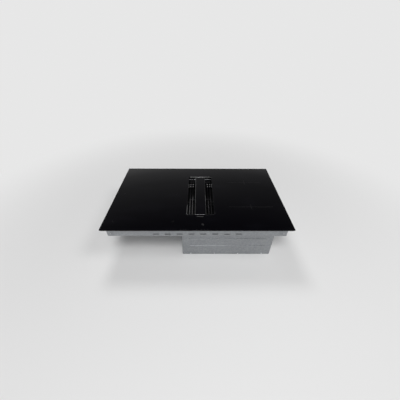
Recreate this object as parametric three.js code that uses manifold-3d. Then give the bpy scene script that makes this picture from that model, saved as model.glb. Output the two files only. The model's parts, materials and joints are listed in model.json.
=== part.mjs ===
// A downdraft induction cooktop: a black glass hob with an extractor built into the middle.
// Millimetres, +Z up, the cook stands at -Y. The origin is on the base plane, under the middle
// of the glass.

import * as THREE from 'three';
import { mergeVertices } from 'three/addons/utils/BufferGeometryUtils.js';
import Module from 'manifold-3d';

const wasm = await Module();
wasm.setup();

// ---------------------------------------------------------------- driving dimensions

// Clearances.
const fitGap = 0.3;             // between pieces that touch and stay put
const slideGap = 0.5;           // round pieces that lift out
const swingGap = 1.5;           // round pieces that turn
const overshoot = 1;            // how far a cutting tool runs past the face that it cuts

// Glass top and overall size.
const overallHeight = 210;
const glassWidth = 830;
const glassDepth = 515;
const glassThickness = 4;
const glassCornerRadius = 3;
const glassEdgeBevel = 0.8;
const glassOverhang = 18;       // past the hob tray, on every side
const sealThickness = 3;
const sealEdgeInset = 2;

// Opening of the extractor and what nests in it.
const openingOffset = 14;       // right of the middle of the glass
const openingWidth = 132;
const openingLength = 322;
const openingCornerRadius = 9;
const trimWall = 1.2;
const trimProud = 0.4;
const grilleSeatDepth = 14;     // from the top down to the ledge that the grille sits on
const grilleBearing = 2;
const basketBearing = 2.5;
const ledgeThickness = 1.2;

// Grille and centre panel.
const grilleFrameWidth = 1.8;
const grilleFootReach = 4.2;    // foot under the frame, inwards from its wall
const grilleFootThickness = 1.2;
const finsPerSide = 2;
const finThickness = 1.8;
const finHeight = 8;
const finDrop = 0.6;            // fin tops below the top of the glass
const rodSize = 3;
const rodFromMiddle = 66;       // the inner of each pair of cross rods
const rodPairGap = 19;
const panelWidth = 52;
const panelRim = 2;
const panelGlassThickness = 4;

// Grease filters, basket and spill tray.
const filterDepth = 40;         // from the top down to the filters
const filterThickness = 12;
const filterFrameWidth = 6;
const filterMeshThickness = 3;
const filterSlotsAcross = 3;
const filterSlotsAlong = 4;
const filterRib = 3;
const dividerThickness = 3;     // folded strip between the two filters
const basketWall = 1.2;
const basketRise = 4;           // basket rim above the filters
const basketLip = 4;
const spillTrayHeight = 28;
const spillTrayWall = 1.2;
const spillTrayGap = 1;

// Inlet well.
const wellWall = 1.2;
const wellLift = 6;             // well floor above the bottom cover
const windowSideMargin = 48;
const windowTopMargin = 8;
const windowSillMargin = 20;

// Hob tray.
const traySheet = 1;
const trayHeight = 50;
const trayFlange = 5;
const trayCornerRadius = 6;
const studHalf = 3;             // half the width of the studs under the boards
const studHeight = 5;
const ventSlotWidth = 5;
const ventSlotLength = 26;
const ventSlotHeight = 8;
const frontVentCount = 8;
const fanVentCount = 4;

// Heating.
const plateEndGap = 18.5;
const plateSheet = 1.2;
const plateSideMargin = 30;
const plateEndMargin = 16;
const plateHoleRadius = 28;
const leftZoneInset = 27;       // from the tray wall to the left coil plate
const rightZoneInset = 11;
const coilPairGap = 8;
const carrierRim = 5;
const carrierThickness = 3;
const carrierSpokes = 6;
const carrierHubRadius = 26;
const carrierBore = 15;
const spokeWidth = 12;
const spokeRelief = 0.4;        // spokes thinner than the rim, above and below
const coilInnerRadius = 24;
const coilThickness = 6;
const coilHeadroom = 1.3;       // insulation sheet and gap between the coil and the glass

// Electronics and cooling.
const boardThickness = 1.6;
const boardSideGap = 22;
const boardFrontGap = 30;
const heatsinkWidth = 60;
const heatsinkBase = 4;
const heatsinkFins = 7;
const heatsinkFinThickness = 2;
const heatsinkHeadroom = 6;
const fanSize = 84;
const fanWall = 2;
const fanHeadroom = 9;
const fanHubRadius = 16;
const fanBlades = 7;
const fanBladeThickness = 1.5;
const fanSpokeWidth = 5;
const fanEndGap = 20;
const touchSideGap = 6;
const touchEndGap = 12;
const touchRim = 2;
const touchDepth = 8;
const touchLegWidth = 10;

// Blower.
const coverSheet = 1.2;
const pillarHalf = 6;           // half the width of the pillars on the bottom cover
const housingSheet = 1.2;
const housingSideMargin = 20;
const housingFrontMargin = 44;
const housingCornerRadius = 5;
const scrollWall = 1.5;
const scrollLift = 8;
const scrollStartGap = 8;
const scrollGrowth = 32;
const scrollSteps = 30;
const tongueAngle = 60;         // degrees, from +X towards +Y
const blowerForward = 45;
const impellerRadius = 85;
const impellerClearance = 4;
const impellerPlate = 1.5;
const bladeDepth = 14;
const bladeThickness = 1.6;
const bladeCount = 20;
const eyeMargin = 6;
const hubGap = 4;
const hubWall = 2;
const motorRadius = 30;
const motorBaseRadius = 40;
const motorShare = 0.62;        // motor height over impeller height
const shaftRadius = 4;
const shaftReach = 9;
const controlDepth = 26;
const controlLength = 150;
const controlHeight = 50;
const controlWall = 2;

// Outlet and its flaps.
const outletWidth = 222;
const outletHeight = 89;
const collarWall = 1.2;
const collarLength = 16;        // behind the housing
const collarFlange = 8;
const collarReach = 42;         // the part of the collar inside the housing
const flapThickness = 1.2;
const flapPinRadius = 2;
const flapPinInset = 8;
const knuckleWall = 1.2;
const knuckleWidth = 12;
const upperKnuckleX = 60;
const lowerKnuckleX = 82;

// Terminal box.
const terminalInset = 12;
const terminalWidth = 100;
const terminalDepth = 62;
const terminalHeight = 36;
const terminalWall = 2;
const terminalRearGap = 50;
const terminalBlockDepth = 22;
const terminalBlockHeight = 20;
const terminalPoles = 5;
const terminalScrewRadius = 3;
const glandRadius = 12;
const glandBore = 7;
const glandNeck = 8.5;
const glandNut = 9;
const glandBody = 14;

// Worktop clamps.
const clampEndInset = 70;
const clampEarSheet = 1.5;
const clampEarReach = 14;
const clampEarWidth = 24;
const clampEarDrop = 36;        // below the glass
const clampPivotReach = 8;
const clampArmLength = 44;
const clampArmWidth = 11;
const clampArmThickness = 4;
const clampPadLength = 14;      // raised end of the arm that presses on the worktop
const clampPadRise = 3;
const clampScrewRadius = 2.5;
const clampHeadRadius = 4.5;
const clampHeadHeight = 4;
const clampScrewRise = 14;

// Round faces.
const smallRound = 10;
const mediumRound = 20;
const largeRound = 30;
const cornerSteps = 3;

// ---------------------------------------------------------------- finishes

function finish(color, roughness, metalness) {
  return new THREE.MeshStandardMaterial({ color, roughness, metalness });
}

const blackGlass = finish(0x0b0b0e, 0.06, 0);
const brightSteel = finish(0xb9bcc0, 0.25, 1);
const tintedSteel = finish(0x66676a, 0.25, 1);
const darkSteel = finish(0x3a3c40, 0.35, 1);
const galvanised = finish(0xa7acb0, 0.45, 0.9);
const aluminium = finish(0xc3c6c9, 0.4, 1);
const darkAluminium = finish(0x2b2c2f, 0.45, 0.8);
const copper = finish(0xb06a3c, 0.4, 0.9);
const blackPlastic = finish(0x1b1c1e, 0.5, 0);
const greyPlastic = finish(0x70757a, 0.55, 0);
const foam = finish(0x202124, 0.95, 0);
const boardGreen = finish(0x1f5a3a, 0.5, 0);

// ---------------------------------------------------------------- solid helpers

const weld = 1e-4;
const grid = 1e-3;

// A three.js geometry as a solid, turned right side out. Its points are rounded to a fine grid,
// so that faces of two pieces at one level meet exactly.
function solid(geometry) {
  const rough = geometry.attributes.position.array;
  rough.forEach((value, i) => {
    rough[i] = Math.round(value / grid) * grid;
  });
  geometry.deleteAttribute('normal');
  geometry.deleteAttribute('uv');
  const merged = mergeVertices(geometry, weld);
  const points = merged.attributes.position.array;
  const corners = Uint32Array.from(merged.index.array);
  if (signedVolume(points, corners) < 0) {
    corners.reverse();
  }
  return new wasm.Manifold(new wasm.Mesh({ numProp: 3, vertProperties: points, triVerts: corners }));
}

function signedVolume(points, corners) {
  const [a, b, c] = [new THREE.Vector3(), new THREE.Vector3(), new THREE.Vector3()];
  let total = 0;
  for (let i = 0; i < corners.length; i += 3) {
    a.fromArray(points, corners[i] * 3);
    b.fromArray(points, corners[i + 1] * 3);
    c.fromArray(points, corners[i + 2] * 3);
    total += a.dot(b.cross(c));
  }
  return total;
}

// A box between its lowest and its highest corner.
function block(low, high) {
  const [x0, y0, z0] = low;
  const [x1, y1, z1] = high;
  const geometry = new THREE.BoxGeometry(x1 - x0, y1 - y0, z1 - z0);
  geometry.translate((x0 + x1) / 2, (y0 + y1) / 2, (z0 + z1) / 2);
  return solid(geometry);
}

// An outline raised from one height to another.
function prism(outline, bottom, top, curveSegments = cornerSteps) {
  const geometry = new THREE.ExtrudeGeometry(outline, {
    depth: top - bottom,
    bevelEnabled: false,
    curveSegments,
  });
  geometry.translate(0, 0, bottom);
  return solid(geometry);
}

// A rectangle with round corners, centred on a point.
function roundedRectangle(width, depth, radius, x = 0, y = 0) {
  const [a, b] = [width / 2, depth / 2];
  const r = Math.min(radius, a * 0.9, b * 0.9);
  const outline = new THREE.Shape();
  outline.moveTo(x - a + r, y - b);
  outline.lineTo(x + a - r, y - b);
  outline.absarc(x + a - r, y - b + r, r, -Math.PI / 2, 0);
  outline.lineTo(x + a, y + b - r);
  outline.absarc(x + a - r, y + b - r, r, 0, Math.PI / 2);
  outline.lineTo(x - a + r, y + b);
  outline.absarc(x - a + r, y + b - r, r, Math.PI / 2, Math.PI);
  outline.lineTo(x - a, y - b + r);
  outline.absarc(x - a + r, y - b + r, r, Math.PI, Math.PI * 1.5);
  return outline;
}

// A closed profile of [radius, height] pairs turned about the Z axis.
function turned(profile, segments = mediumRound) {
  const points = profile.map(([radius, height]) => new THREE.Vector2(radius, height));
  const geometry = new THREE.LatheGeometry([...points, points[0]], segments);
  geometry.rotateX(Math.PI / 2);
  return solid(geometry);
}

// A round disc or rod about the Z axis.
function disc(radius, bottom, top, segments = mediumRound) {
  const geometry = new THREE.CylinderGeometry(radius, radius, top - bottom, segments);
  geometry.rotateX(Math.PI / 2);
  geometry.translate(0, 0, (bottom + top) / 2);
  return solid(geometry);
}

// A flat ring about the Z axis.
function ring(outer, inner, bottom, top, segments = mediumRound) {
  const profile = [[inner, bottom], [outer, bottom], [outer, top], [inner, top]];
  return turned(profile, segments);
}

function joined(parts) {
  return parts.reduce((whole, next) => whole.add(next));
}

function cut(whole, tools) {
  return tools.reduce((left, tool) => left.subtract(tool), whole);
}

const assembly = new THREE.Group();

// Adds a named piece to the assembly, or to a group of it.
function piece(name, shape, material, parent = assembly) {
  const { vertProperties, triVerts } = shape.getMesh();
  const geometry = new THREE.BufferGeometry();
  geometry.setAttribute('position', new THREE.BufferAttribute(Float32Array.from(vertProperties), 3));
  geometry.setIndex(new THREE.BufferAttribute(Uint32Array.from(triVerts), 1));
  geometry.computeVertexNormals();
  const mesh = new THREE.Mesh(geometry, material);
  mesh.name = name;
  parent.add(mesh);
  return mesh;
}

function placedGroup(x, y, z = 0) {
  const group = new THREE.Group();
  group.position.set(x, y, z);
  assembly.add(group);
  return group;
}

// ---------------------------------------------------------------- shared levels and fits

const glassTop = overallHeight - trimProud;
const glassUnder = glassTop - glassThickness;
const trayTop = glassUnder - fitGap;
const trayUnder = trayTop - trayHeight;
const trayFloor = trayUnder + traySheet;
const housingTop = trayUnder - fitGap;
const housingBottom = coverSheet + fitGap;

const trayWidth = glassWidth - 2 * glassOverhang;
const trayDepth = glassDepth - 2 * glassOverhang;
const trayInnerX = trayWidth / 2 - traySheet;
const trayInnerY = trayDepth / 2 - traySheet;

// Insets from the cut-out of the glass, from the trim inwards.
const trimOuterInset = fitGap;
const trimInnerInset = trimOuterInset + trimWall;
const grilleInset = trimInnerInset + slideGap;
const grilleLedgeInset = grilleInset + grilleBearing;
const basketFlangeInset = grilleLedgeInset + slideGap;
const basketLedgeInset = basketFlangeInset + basketBearing;
const basketInset = basketLedgeInset + slideGap;
const filterInset = basketInset + basketWall + slideGap;
const spillTrayInset = basketLedgeInset + spillTrayGap;

const wellHalfWidth = openingWidth / 2 + wellWall;
const wellHalfLength = openingLength / 2 + wellWall;
const wellUnder = coverSheet + wellLift;
const wellFloor = wellUnder + wellWall;

// The outline of the cut-out, drawn in or out by an inset.
function openingOutline(inset) {
  const radius = Math.max(openingCornerRadius - inset, wellWall);
  return roundedRectangle(openingWidth - 2 * inset, openingLength - 2 * inset, radius);
}

// A wall that follows the cut-out between two insets.
function openingRing(outerInset, innerInset, bottom, top) {
  const outline = openingOutline(outerInset);
  outline.holes.push(openingOutline(innerInset));
  return prism(outline, bottom, top);
}

// ---------------------------------------------------------------- glass, seal and trim

function makeGlass() {
  const outline = (inset) => roundedRectangle(
    glassWidth - 2 * inset, glassDepth - 2 * inset, glassCornerRadius - inset);
  const body = prism(outline(0), glassUnder, glassTop - glassEdgeBevel);
  const crown = prism(outline(glassEdgeBevel), glassTop - glassEdgeBevel, glassTop);
  const bevelled = wasm.Manifold.hull([body, crown]);
  const hole = prism(openingOutline(0), glassUnder - overshoot, glassTop + overshoot);
  piece('glass_top', bevelled.subtract(hole.translate([openingOffset, 0, 0])), blackGlass);
}

function makeSeal() {
  const outer = sealEdgeInset;
  const inner = glassOverhang - trayFlange - overshoot;
  const outline = roundedRectangle(glassWidth - 2 * outer, glassDepth - 2 * outer, trayCornerRadius);
  outline.holes.push(roundedRectangle(glassWidth - 2 * inner, glassDepth - 2 * inner, trayCornerRadius));
  piece('glass_seal', prism(outline, trayTop - sealThickness, trayTop), foam);
}

const extractor = placedGroup(openingOffset, 0);
const grilleSeat = overallHeight - grilleSeatDepth;

function makeTrim() {
  const wall = openingRing(trimOuterInset, trimInnerInset, grilleSeat - ledgeThickness, overallHeight);
  const ledge = openingRing(trimOuterInset, grilleLedgeInset, grilleSeat - ledgeThickness, grilleSeat);
  piece('opening_trim', wall.add(ledge), darkSteel, extractor);
}

// ---------------------------------------------------------------- grille and centre panel

const grilleUnder = grilleSeat + fitGap;
const finTop = glassTop - finDrop;
const finUnder = finTop - finHeight;
const rodTop = finUnder + rodSize / 4;
const rodUnder = rodTop - rodSize;
const grilleHalfWidth = openingWidth / 2 - grilleInset;
const grilleHalfLength = openingLength / 2 - grilleInset;

// Middle of each fin, spread evenly between the centre panel and the frame.
function finPositions() {
  const innermost = panelWidth / 2;
  const outermost = grilleHalfWidth - grilleFrameWidth / 2;
  const pitch = (outermost - innermost) / (finsPerSide + 1);
  const oneSide = Array.from({ length: finsPerSide }, (_, i) => innermost + pitch * (i + 1));
  return [...oneSide.map((x) => -x), ...oneSide];
}

// The frame's ends are cut down in the middle, where the centre panel lies on them.
function makeGrille() {
  const frameInner = grilleInset + grilleFrameWidth;
  const frame = openingRing(grilleInset, frameInner, grilleUnder, glassTop);
  const foot = openingRing(
    grilleInset, frameInner + grilleFootReach, grilleUnder, grilleUnder + grilleFootThickness);
  const finReach = grilleHalfLength - grilleFrameWidth / 2;
  const fins = finPositions().map((x) => block(
    [x - finThickness / 2, -finReach, finUnder],
    [x + finThickness / 2, finReach, finTop]));
  const rodReach = grilleHalfWidth - grilleFrameWidth / 2;
  const stations = [rodFromMiddle, rodFromMiddle + rodPairGap];
  const rods = [...stations, ...stations.map((y) => -y)].map((y) => block(
    [-rodReach, y - rodSize / 2, rodUnder],
    [rodReach, y + rodSize / 2, rodTop]));
  const panelSeat = block(
    [-panelWidth / 2 - slideGap, -openingLength / 2, rodTop],
    [panelWidth / 2 + slideGap, openingLength / 2, glassTop + overshoot]);
  const open = joined([frame, foot, ...fins, ...rods]).subtract(panelSeat);
  piece('grille', open, darkSteel, extractor);
}

function makePanel() {
  const length = 2 * grilleHalfLength;
  const bottom = rodTop + fitGap;
  const frameOutline = roundedRectangle(panelWidth, length, glassCornerRadius);
  const inlayWidth = panelWidth - 2 * panelRim;
  const inlayLength = length - 2 * panelRim;
  const pocket = roundedRectangle(inlayWidth, inlayLength, glassCornerRadius);
  const floor = glassTop - panelGlassThickness - fitGap;
  const frame = prism(frameOutline, bottom, glassTop);
  const recess = prism(pocket, floor, glassTop + overshoot);
  piece('panel_frame', frame.subtract(recess), tintedSteel, extractor);
  const inlay = roundedRectangle(inlayWidth - 2 * fitGap, inlayLength - 2 * fitGap, glassCornerRadius);
  piece('panel_glass', prism(inlay, floor + fitGap, glassTop), blackGlass, extractor);
}

// ---------------------------------------------------------------- filters, basket and spill tray

const filterTop = overallHeight - filterDepth;
const filterUnder = filterTop - filterThickness;
const basketTop = filterTop + basketRise;
const basketFlangeUnder = basketTop - basketWall;
const basketFloor = filterUnder - fitGap;
const basketSeat = basketFlangeUnder - fitGap;

function makeBasket() {
  const flange = openingRing(basketFlangeInset, basketInset + basketWall, basketFlangeUnder, basketTop);
  const wall = openingRing(basketInset, basketInset + basketWall, basketFloor - basketWall, basketTop);
  const lip = openingRing(
    basketInset, basketInset + basketWall + basketLip, basketFloor - basketWall, basketFloor);
  const bridge = block(
    [-openingWidth / 2 + basketInset + basketWall / 2, -basketLip, basketFloor - basketWall],
    [openingWidth / 2 - basketInset - basketWall / 2, basketLip, basketFloor]);
  piece('filter_basket', joined([flange, wall, lip, bridge]), darkSteel, extractor);
}

// One grease filter: a frame round a slotted core.
function makeFilter(name, direction) {
  const width = openingWidth - 2 * filterInset;
  const innerEnd = dividerThickness / 2 + slideGap;
  const length = openingLength / 2 - filterInset - innerEnd;
  const middle = direction * (innerEnd + length / 2);
  const outline = roundedRectangle(width, length, filterRib, 0, middle);
  const innerWidth = width - 2 * filterFrameWidth;
  const innerLength = length - 2 * filterFrameWidth;
  const recess = roundedRectangle(innerWidth, innerLength, filterRib, 0, middle);
  const meshTop = (filterTop + filterUnder + filterMeshThickness) / 2;
  const body = prism(outline, filterUnder, filterTop);
  const slots = [];
  const stepX = innerWidth / filterSlotsAcross;
  const stepY = innerLength / filterSlotsAlong;
  for (let i = 0; i < filterSlotsAcross; i += 1) {
    for (let j = 0; j < filterSlotsAlong; j += 1) {
      const x = -innerWidth / 2 + stepX * (i + 0.5);
      const y = middle - innerLength / 2 + stepY * (j + 0.5);
      slots.push(block(
        [x - stepX / 2 + filterRib / 2, y - stepY / 2 + filterRib / 2, filterUnder - overshoot],
        [x + stepX / 2 - filterRib / 2, y + stepY / 2 - filterRib / 2, filterTop + overshoot]));
    }
  }
  const upper = prism(recess, meshTop, filterTop + overshoot);
  const lower = prism(recess, filterUnder - overshoot, meshTop - filterMeshThickness);
  piece(name, cut(body, [upper, lower, ...slots]), darkAluminium, extractor);
}

// A folded strip that stands on the basket's bridge and keeps the filters apart.
function makeDivider() {
  const halfWidth = openingWidth / 2 - basketInset - basketWall - fitGap;
  const strip = block(
    [-halfWidth, -dividerThickness / 2, basketFloor + fitGap],
    [halfWidth, dividerThickness / 2, basketTop]);
  piece('filter_divider', strip, darkAluminium, extractor);
}

function makeSpillTray() {
  const bottom = wellFloor + fitGap;
  const top = bottom + spillTrayHeight;
  const body = prism(openingOutline(spillTrayInset), bottom, top);
  const hollow = prism(
    openingOutline(spillTrayInset + spillTrayWall), bottom + spillTrayWall, top + overshoot);
  piece('spill_tray', body.subtract(hollow), blackPlastic, extractor);
}

// ---------------------------------------------------------------- inlet well

const windowTop = housingTop - windowTopMargin;
const windowSill = wellFloor + spillTrayHeight + windowSillMargin;

function makeWell() {
  const body = prism(openingOutline(-wellWall), wellUnder, trayTop);
  const hollow = prism(openingOutline(0), wellFloor, trayTop + overshoot);
  const ledge = openingRing(-wellWall / 2, basketLedgeInset, basketSeat - ledgeThickness, basketSeat);
  const windowReach = openingLength / 2 - windowSideMargin;
  const airWindow = block(
    [openingWidth / 2 - wellWall, -windowReach, windowSill],
    [openingWidth / 2 + wellWall + overshoot, windowReach, windowTop]);
  piece('inlet_well', body.subtract(hollow).add(ledge).subtract(airWindow), blackPlastic, extractor);
}

// ---------------------------------------------------------------- coil plates, coils and carriers

const carrierRadius = (trayInnerY - plateEndGap - plateEndMargin - coilPairGap / 2) / 2;
const coilRadius = carrierRadius - carrierRim;
const zoneHalfPitch = carrierRadius + coilPairGap / 2;
const plateHalfWidth = carrierRadius + plateSideMargin;
const plateHalfDepth = trayInnerY - plateEndGap;
const coilTop = trayTop - coilHeadroom;
const coilUnder = coilTop - coilThickness;
const carrierTop = coilUnder - fitGap;
const carrierUnder = carrierTop - carrierThickness;
const plateTop = carrierUnder - fitGap;
const plateUnder = plateTop - plateSheet;

const sides = [
  { side: 'left', x: -trayInnerX + leftZoneInset + plateHalfWidth },
  { side: 'right', x: trayInnerX - rightZoneInset - plateHalfWidth },
];
const rows = [
  { row: 'front', y: -zoneHalfPitch },
  { row: 'rear', y: zoneHalfPitch },
];

// A bent sheet that carries two coils, on legs that stand on the tray floor.
function makeCoilPlate(side, x) {
  const group = placedGroup(x, 0);
  const sheet = block(
    [-plateHalfWidth, -plateHalfDepth, plateUnder],
    [plateHalfWidth, plateHalfDepth, plateTop]);
  const legs = [-plateHalfWidth, plateHalfWidth - plateSheet].map((edge) => block(
    [edge, -plateHalfDepth, trayFloor + fitGap],
    [edge + plateSheet, plateHalfDepth, plateTop]));
  const holes = rows.map(({ y }) => disc(
    plateHoleRadius, plateUnder - overshoot, plateTop + overshoot).translate([0, y, 0]));
  piece(`coil_plate_${side}`, cut(joined([sheet, ...legs]), holes), aluminium, group);
}

function makeCoil(side, row, x, y) {
  const group = placedGroup(x, y);
  const rim = ring(carrierRadius, coilRadius, carrierUnder, carrierTop, largeRound);
  const hub = disc(carrierHubRadius, carrierUnder, carrierTop);
  const spokes = Array.from({ length: carrierSpokes }, (_, i) => block(
    [0, -spokeWidth / 2, carrierUnder + spokeRelief],
    [carrierRadius - carrierRim / 2, spokeWidth / 2, carrierTop - spokeRelief],
  ).rotate([0, 0, (360 * i) / carrierSpokes]));
  const bore = disc(carrierBore, carrierUnder - overshoot, carrierTop + overshoot, smallRound);
  piece(`coil_carrier_${row}_${side}`, cut(joined([rim, hub, ...spokes]), [bore]), greyPlastic, group);
  piece(`coil_${row}_${side}`, ring(coilRadius, coilInnerRadius, coilUnder, coilTop, largeRound),
    copper, group);
}

// ---------------------------------------------------------------- boards, heatsinks and fans

const boardUnder = trayFloor + studHeight + fitGap;
const boardTop = boardUnder + boardThickness;
const boardHalfWidth = plateHalfWidth - boardSideGap;
const fanY = plateHalfDepth - fanEndGap - fanSize / 2;
const boardRear = fanY - fanSize / 2 - fanEndGap;
const boardFront = -plateHalfDepth + boardFrontGap;
const boardStudInset = 2 * studHalf;

function studPlaces() {
  const places = [];
  for (const { x } of sides) {
    for (const sign of [-1, 1]) {
      for (const y of [boardFront + boardStudInset, boardRear - boardStudInset]) {
        places.push([x + sign * (boardHalfWidth - boardStudInset), y]);
      }
    }
  }
  return places;
}

function makePowerBoard(side, x) {
  const group = placedGroup(x, 0);
  const board = block(
    [-boardHalfWidth, boardFront, boardUnder], [boardHalfWidth, boardRear, boardTop]);
  piece(`power_board_${side}`, board, boardGreen, group);
  const bottom = boardTop + fitGap;
  const top = plateUnder - heatsinkHeadroom;
  const base = block(
    [-heatsinkWidth / 2, boardFront + boardFrontGap, bottom],
    [heatsinkWidth / 2, boardRear - boardStudInset, bottom + heatsinkBase]);
  const pitch = (heatsinkWidth - heatsinkFinThickness) / (heatsinkFins - 1);
  const fins = Array.from({ length: heatsinkFins }, (_, i) => {
    const left = -heatsinkWidth / 2 + pitch * i;
    return block(
      [left, boardFront + boardFrontGap, bottom],
      [left + heatsinkFinThickness, boardRear - boardStudInset, top]);
  });
  piece(`heatsink_${side}`, joined([base, ...fins]), aluminium, group);
}

function makeCoolingFan(side, x) {
  const group = placedGroup(x, fanY);
  const bottom = trayFloor + fitGap;
  const top = plateUnder - fanHeadroom;
  const boreRadius = fanSize / 2 - fanWall;
  const body = prism(roundedRectangle(fanSize, fanSize, carrierRim), bottom, top);
  const bore = disc(boreRadius, bottom - overshoot, top + overshoot, mediumRound);
  const baseTop = bottom + fanWall;
  const mount = disc(fanHubRadius, bottom, baseTop, smallRound);
  const arms = [0, 1, 2, 3].map((quarter) => block(
    [0, -fanSpokeWidth / 2, bottom],
    [fanSize / 2 - fanWall / 2, fanSpokeWidth / 2, baseTop]).rotate([0, 0, 90 * quarter]));
  piece(`cooling_fan_frame_${side}`, joined([body.subtract(bore), mount, ...arms]),
    blackPlastic, group);
  const rotorUnder = baseTop + swingGap;
  const rotorTop = top - swingGap;
  const hub = disc(fanHubRadius, rotorUnder, rotorTop, smallRound);
  const blades = Array.from({ length: fanBlades }, (_, i) => block(
    [fanHubRadius - fanWall, -fanBladeThickness / 2, rotorUnder],
    [boreRadius - swingGap, fanBladeThickness / 2, rotorTop]).rotate([0, 0, (360 * i) / fanBlades]));
  piece(`cooling_fan_rotor_${side}`, joined([hub, ...blades]), blackPlastic, group);
}

// ---------------------------------------------------------------- touch control

// Stands in front of the well, between the two coil plates, just under the glass.
function makeTouchControl() {
  const left = sides[0].x + plateHalfWidth + touchSideGap;
  const right = sides[1].x - plateHalfWidth - touchSideGap;
  const front = -trayInnerY + touchEndGap;
  const rear = -wellHalfLength - touchEndGap;
  const top = trayTop - coilHeadroom;
  const bottom = top - touchDepth;
  const body = block([left, front, bottom], [right, rear, top]);
  const hollow = block(
    [left + touchRim, front + touchRim, bottom + touchRim],
    [right - touchRim, rear - touchRim, top + overshoot]);
  const legs = [];
  for (const x of [left, right - touchLegWidth]) {
    for (const y of [front, rear - touchRim]) {
      legs.push(block([x, y, trayFloor + fitGap], [x + touchLegWidth, y + touchRim, bottom + touchRim]));
    }
  }
  piece('touch_holder', joined([body.subtract(hollow), ...legs]), blackPlastic);
  const inset = touchRim + fitGap;
  const board = block(
    [left + inset, front + inset, bottom + inset],
    [right - inset, rear - inset, bottom + inset + boardThickness]);
  piece('touch_board', board, boardGreen);
}

// ---------------------------------------------------------------- hob tray

const clampPivotX = trayWidth / 2 + clampPivotReach;
const clampPivotY = trayDepth / 2 - clampEndInset;
const clampEarTop = glassUnder - clampEarDrop;
const clampEarUnder = clampEarTop - clampEarSheet;

const corners = [
  { corner: 'front_left', signX: -1, signY: -1 },
  { corner: 'front_right', signX: 1, signY: -1 },
  { corner: 'rear_left', signX: -1, signY: 1 },
  { corner: 'rear_right', signX: 1, signY: 1 },
];

function clampEars() {
  return corners.map(({ signX, signY }) => {
    const inner = signX * (trayWidth / 2 - traySheet / 2);
    const outer = signX * (trayWidth / 2 + clampEarReach);
    const y = signY * clampPivotY;
    const ear = block(
      [Math.min(inner, outer), y - clampEarWidth / 2, clampEarUnder],
      [Math.max(inner, outer), y + clampEarWidth / 2, clampEarTop]);
    const hole = disc(
      clampScrewRadius + fitGap, clampEarUnder - overshoot, clampEarTop + overshoot, smallRound);
    return ear.subtract(hole.translate([signX * clampPivotX, y, 0]));
  });
}

function trayVents() {
  const vents = [];
  const frontPitch = 2 * ventSlotLength;
  for (let i = 0; i < frontVentCount; i += 1) {
    const x = (i - (frontVentCount - 1) / 2) * frontPitch;
    const z = trayFloor + ventSlotHeight;
    vents.push(block(
      [x - ventSlotLength / 2, -trayDepth / 2 - overshoot, z],
      [x + ventSlotLength / 2, -trayDepth / 2 + traySheet + overshoot, z + ventSlotWidth]));
  }
  for (const { x } of sides) {
    for (let i = 0; i < fanVentCount; i += 1) {
      const y = fanY + (i - (fanVentCount - 1) / 2) * 2 * ventSlotWidth;
      vents.push(block(
        [x - ventSlotLength, y - ventSlotWidth / 2, trayUnder - overshoot],
        [x + ventSlotLength, y + ventSlotWidth / 2, trayFloor + overshoot]));
    }
  }
  return vents;
}

function makeHobTray() {
  const body = prism(roundedRectangle(trayWidth, trayDepth, trayCornerRadius), trayUnder, trayTop);
  const lap = prism(
    roundedRectangle(trayWidth + 2 * trayFlange, trayDepth + 2 * trayFlange, trayCornerRadius),
    trayTop - traySheet, trayTop);
  const hollow = prism(
    roundedRectangle(2 * trayInnerX, 2 * trayInnerY, trayCornerRadius - traySheet),
    trayFloor, trayTop + overshoot);
  const wellHole = prism(openingOutline(-wellWall - fitGap), trayUnder - overshoot, trayFloor + overshoot);
  const shell = cut(body.add(lap), [hollow, wellHole.translate([openingOffset, 0, 0]), ...trayVents()]);
  const studs = studPlaces().map(([x, y]) => block(
    [x - studHalf, y - studHalf, trayUnder + traySheet / 2],
    [x + studHalf, y + studHalf, trayFloor + studHeight]));
  piece('hob_tray', joined([shell, ...studs, ...clampEars()]), galvanised);
}

// ---------------------------------------------------------------- blower

const scrollUnder = coverSheet + scrollLift;
const upstandTop = scrollUnder - swingGap;
const scrollFloor = scrollUnder + scrollWall;
const scrollTop = scrollFloor + outletHeight;
const scrollStart = impellerRadius + scrollStartGap;
const scrollEnd = scrollStart + scrollGrowth;
const blowerX = openingOffset + wellHalfWidth + housingSideMargin / 2 + scrollWall + scrollEnd;
const blowerY = -blowerForward;

const housingLeft = openingOffset - wellHalfWidth - housingSideMargin;
const housingRight = blowerX + scrollEnd + scrollWall + housingSideMargin / 2;
const housingFront = Math.min(-wellHalfLength, blowerY - scrollEnd - scrollWall) - housingFrontMargin;
const housingRear = glassDepth / 2 - glassOverhang - collarLength;
const outletRight = blowerX + scrollEnd;
const outletLeft = outletRight - outletWidth;
const outletX = (outletLeft + outletRight) / 2;
const outletZ = (scrollFloor + scrollTop) / 2;
const collarFront = housingRear - collarReach;

// The spiral and its widening throat, seen from above and drawn out by a wall thickness.
function scrollOutline(grow) {
  const outline = new THREE.Shape();
  const start = THREE.MathUtils.degToRad(tongueAngle);
  const sweep = 2 * Math.PI - start;
  for (let i = 0; i <= scrollSteps; i += 1) {
    const share = i / scrollSteps;
    const angle = start + sweep * share;
    const radius = scrollStart + scrollGrowth * share + grow;
    const x = blowerX + radius * Math.cos(angle);
    const y = blowerY + radius * Math.sin(angle);
    if (i === 0) {
      outline.moveTo(x, y);
    } else {
      outline.lineTo(x, y);
    }
  }
  outline.lineTo(outletRight + grow, collarFront - fitGap);
  outline.lineTo(outletLeft - grow, collarFront - fitGap);
  outline.closePath();
  return outline;
}

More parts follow.
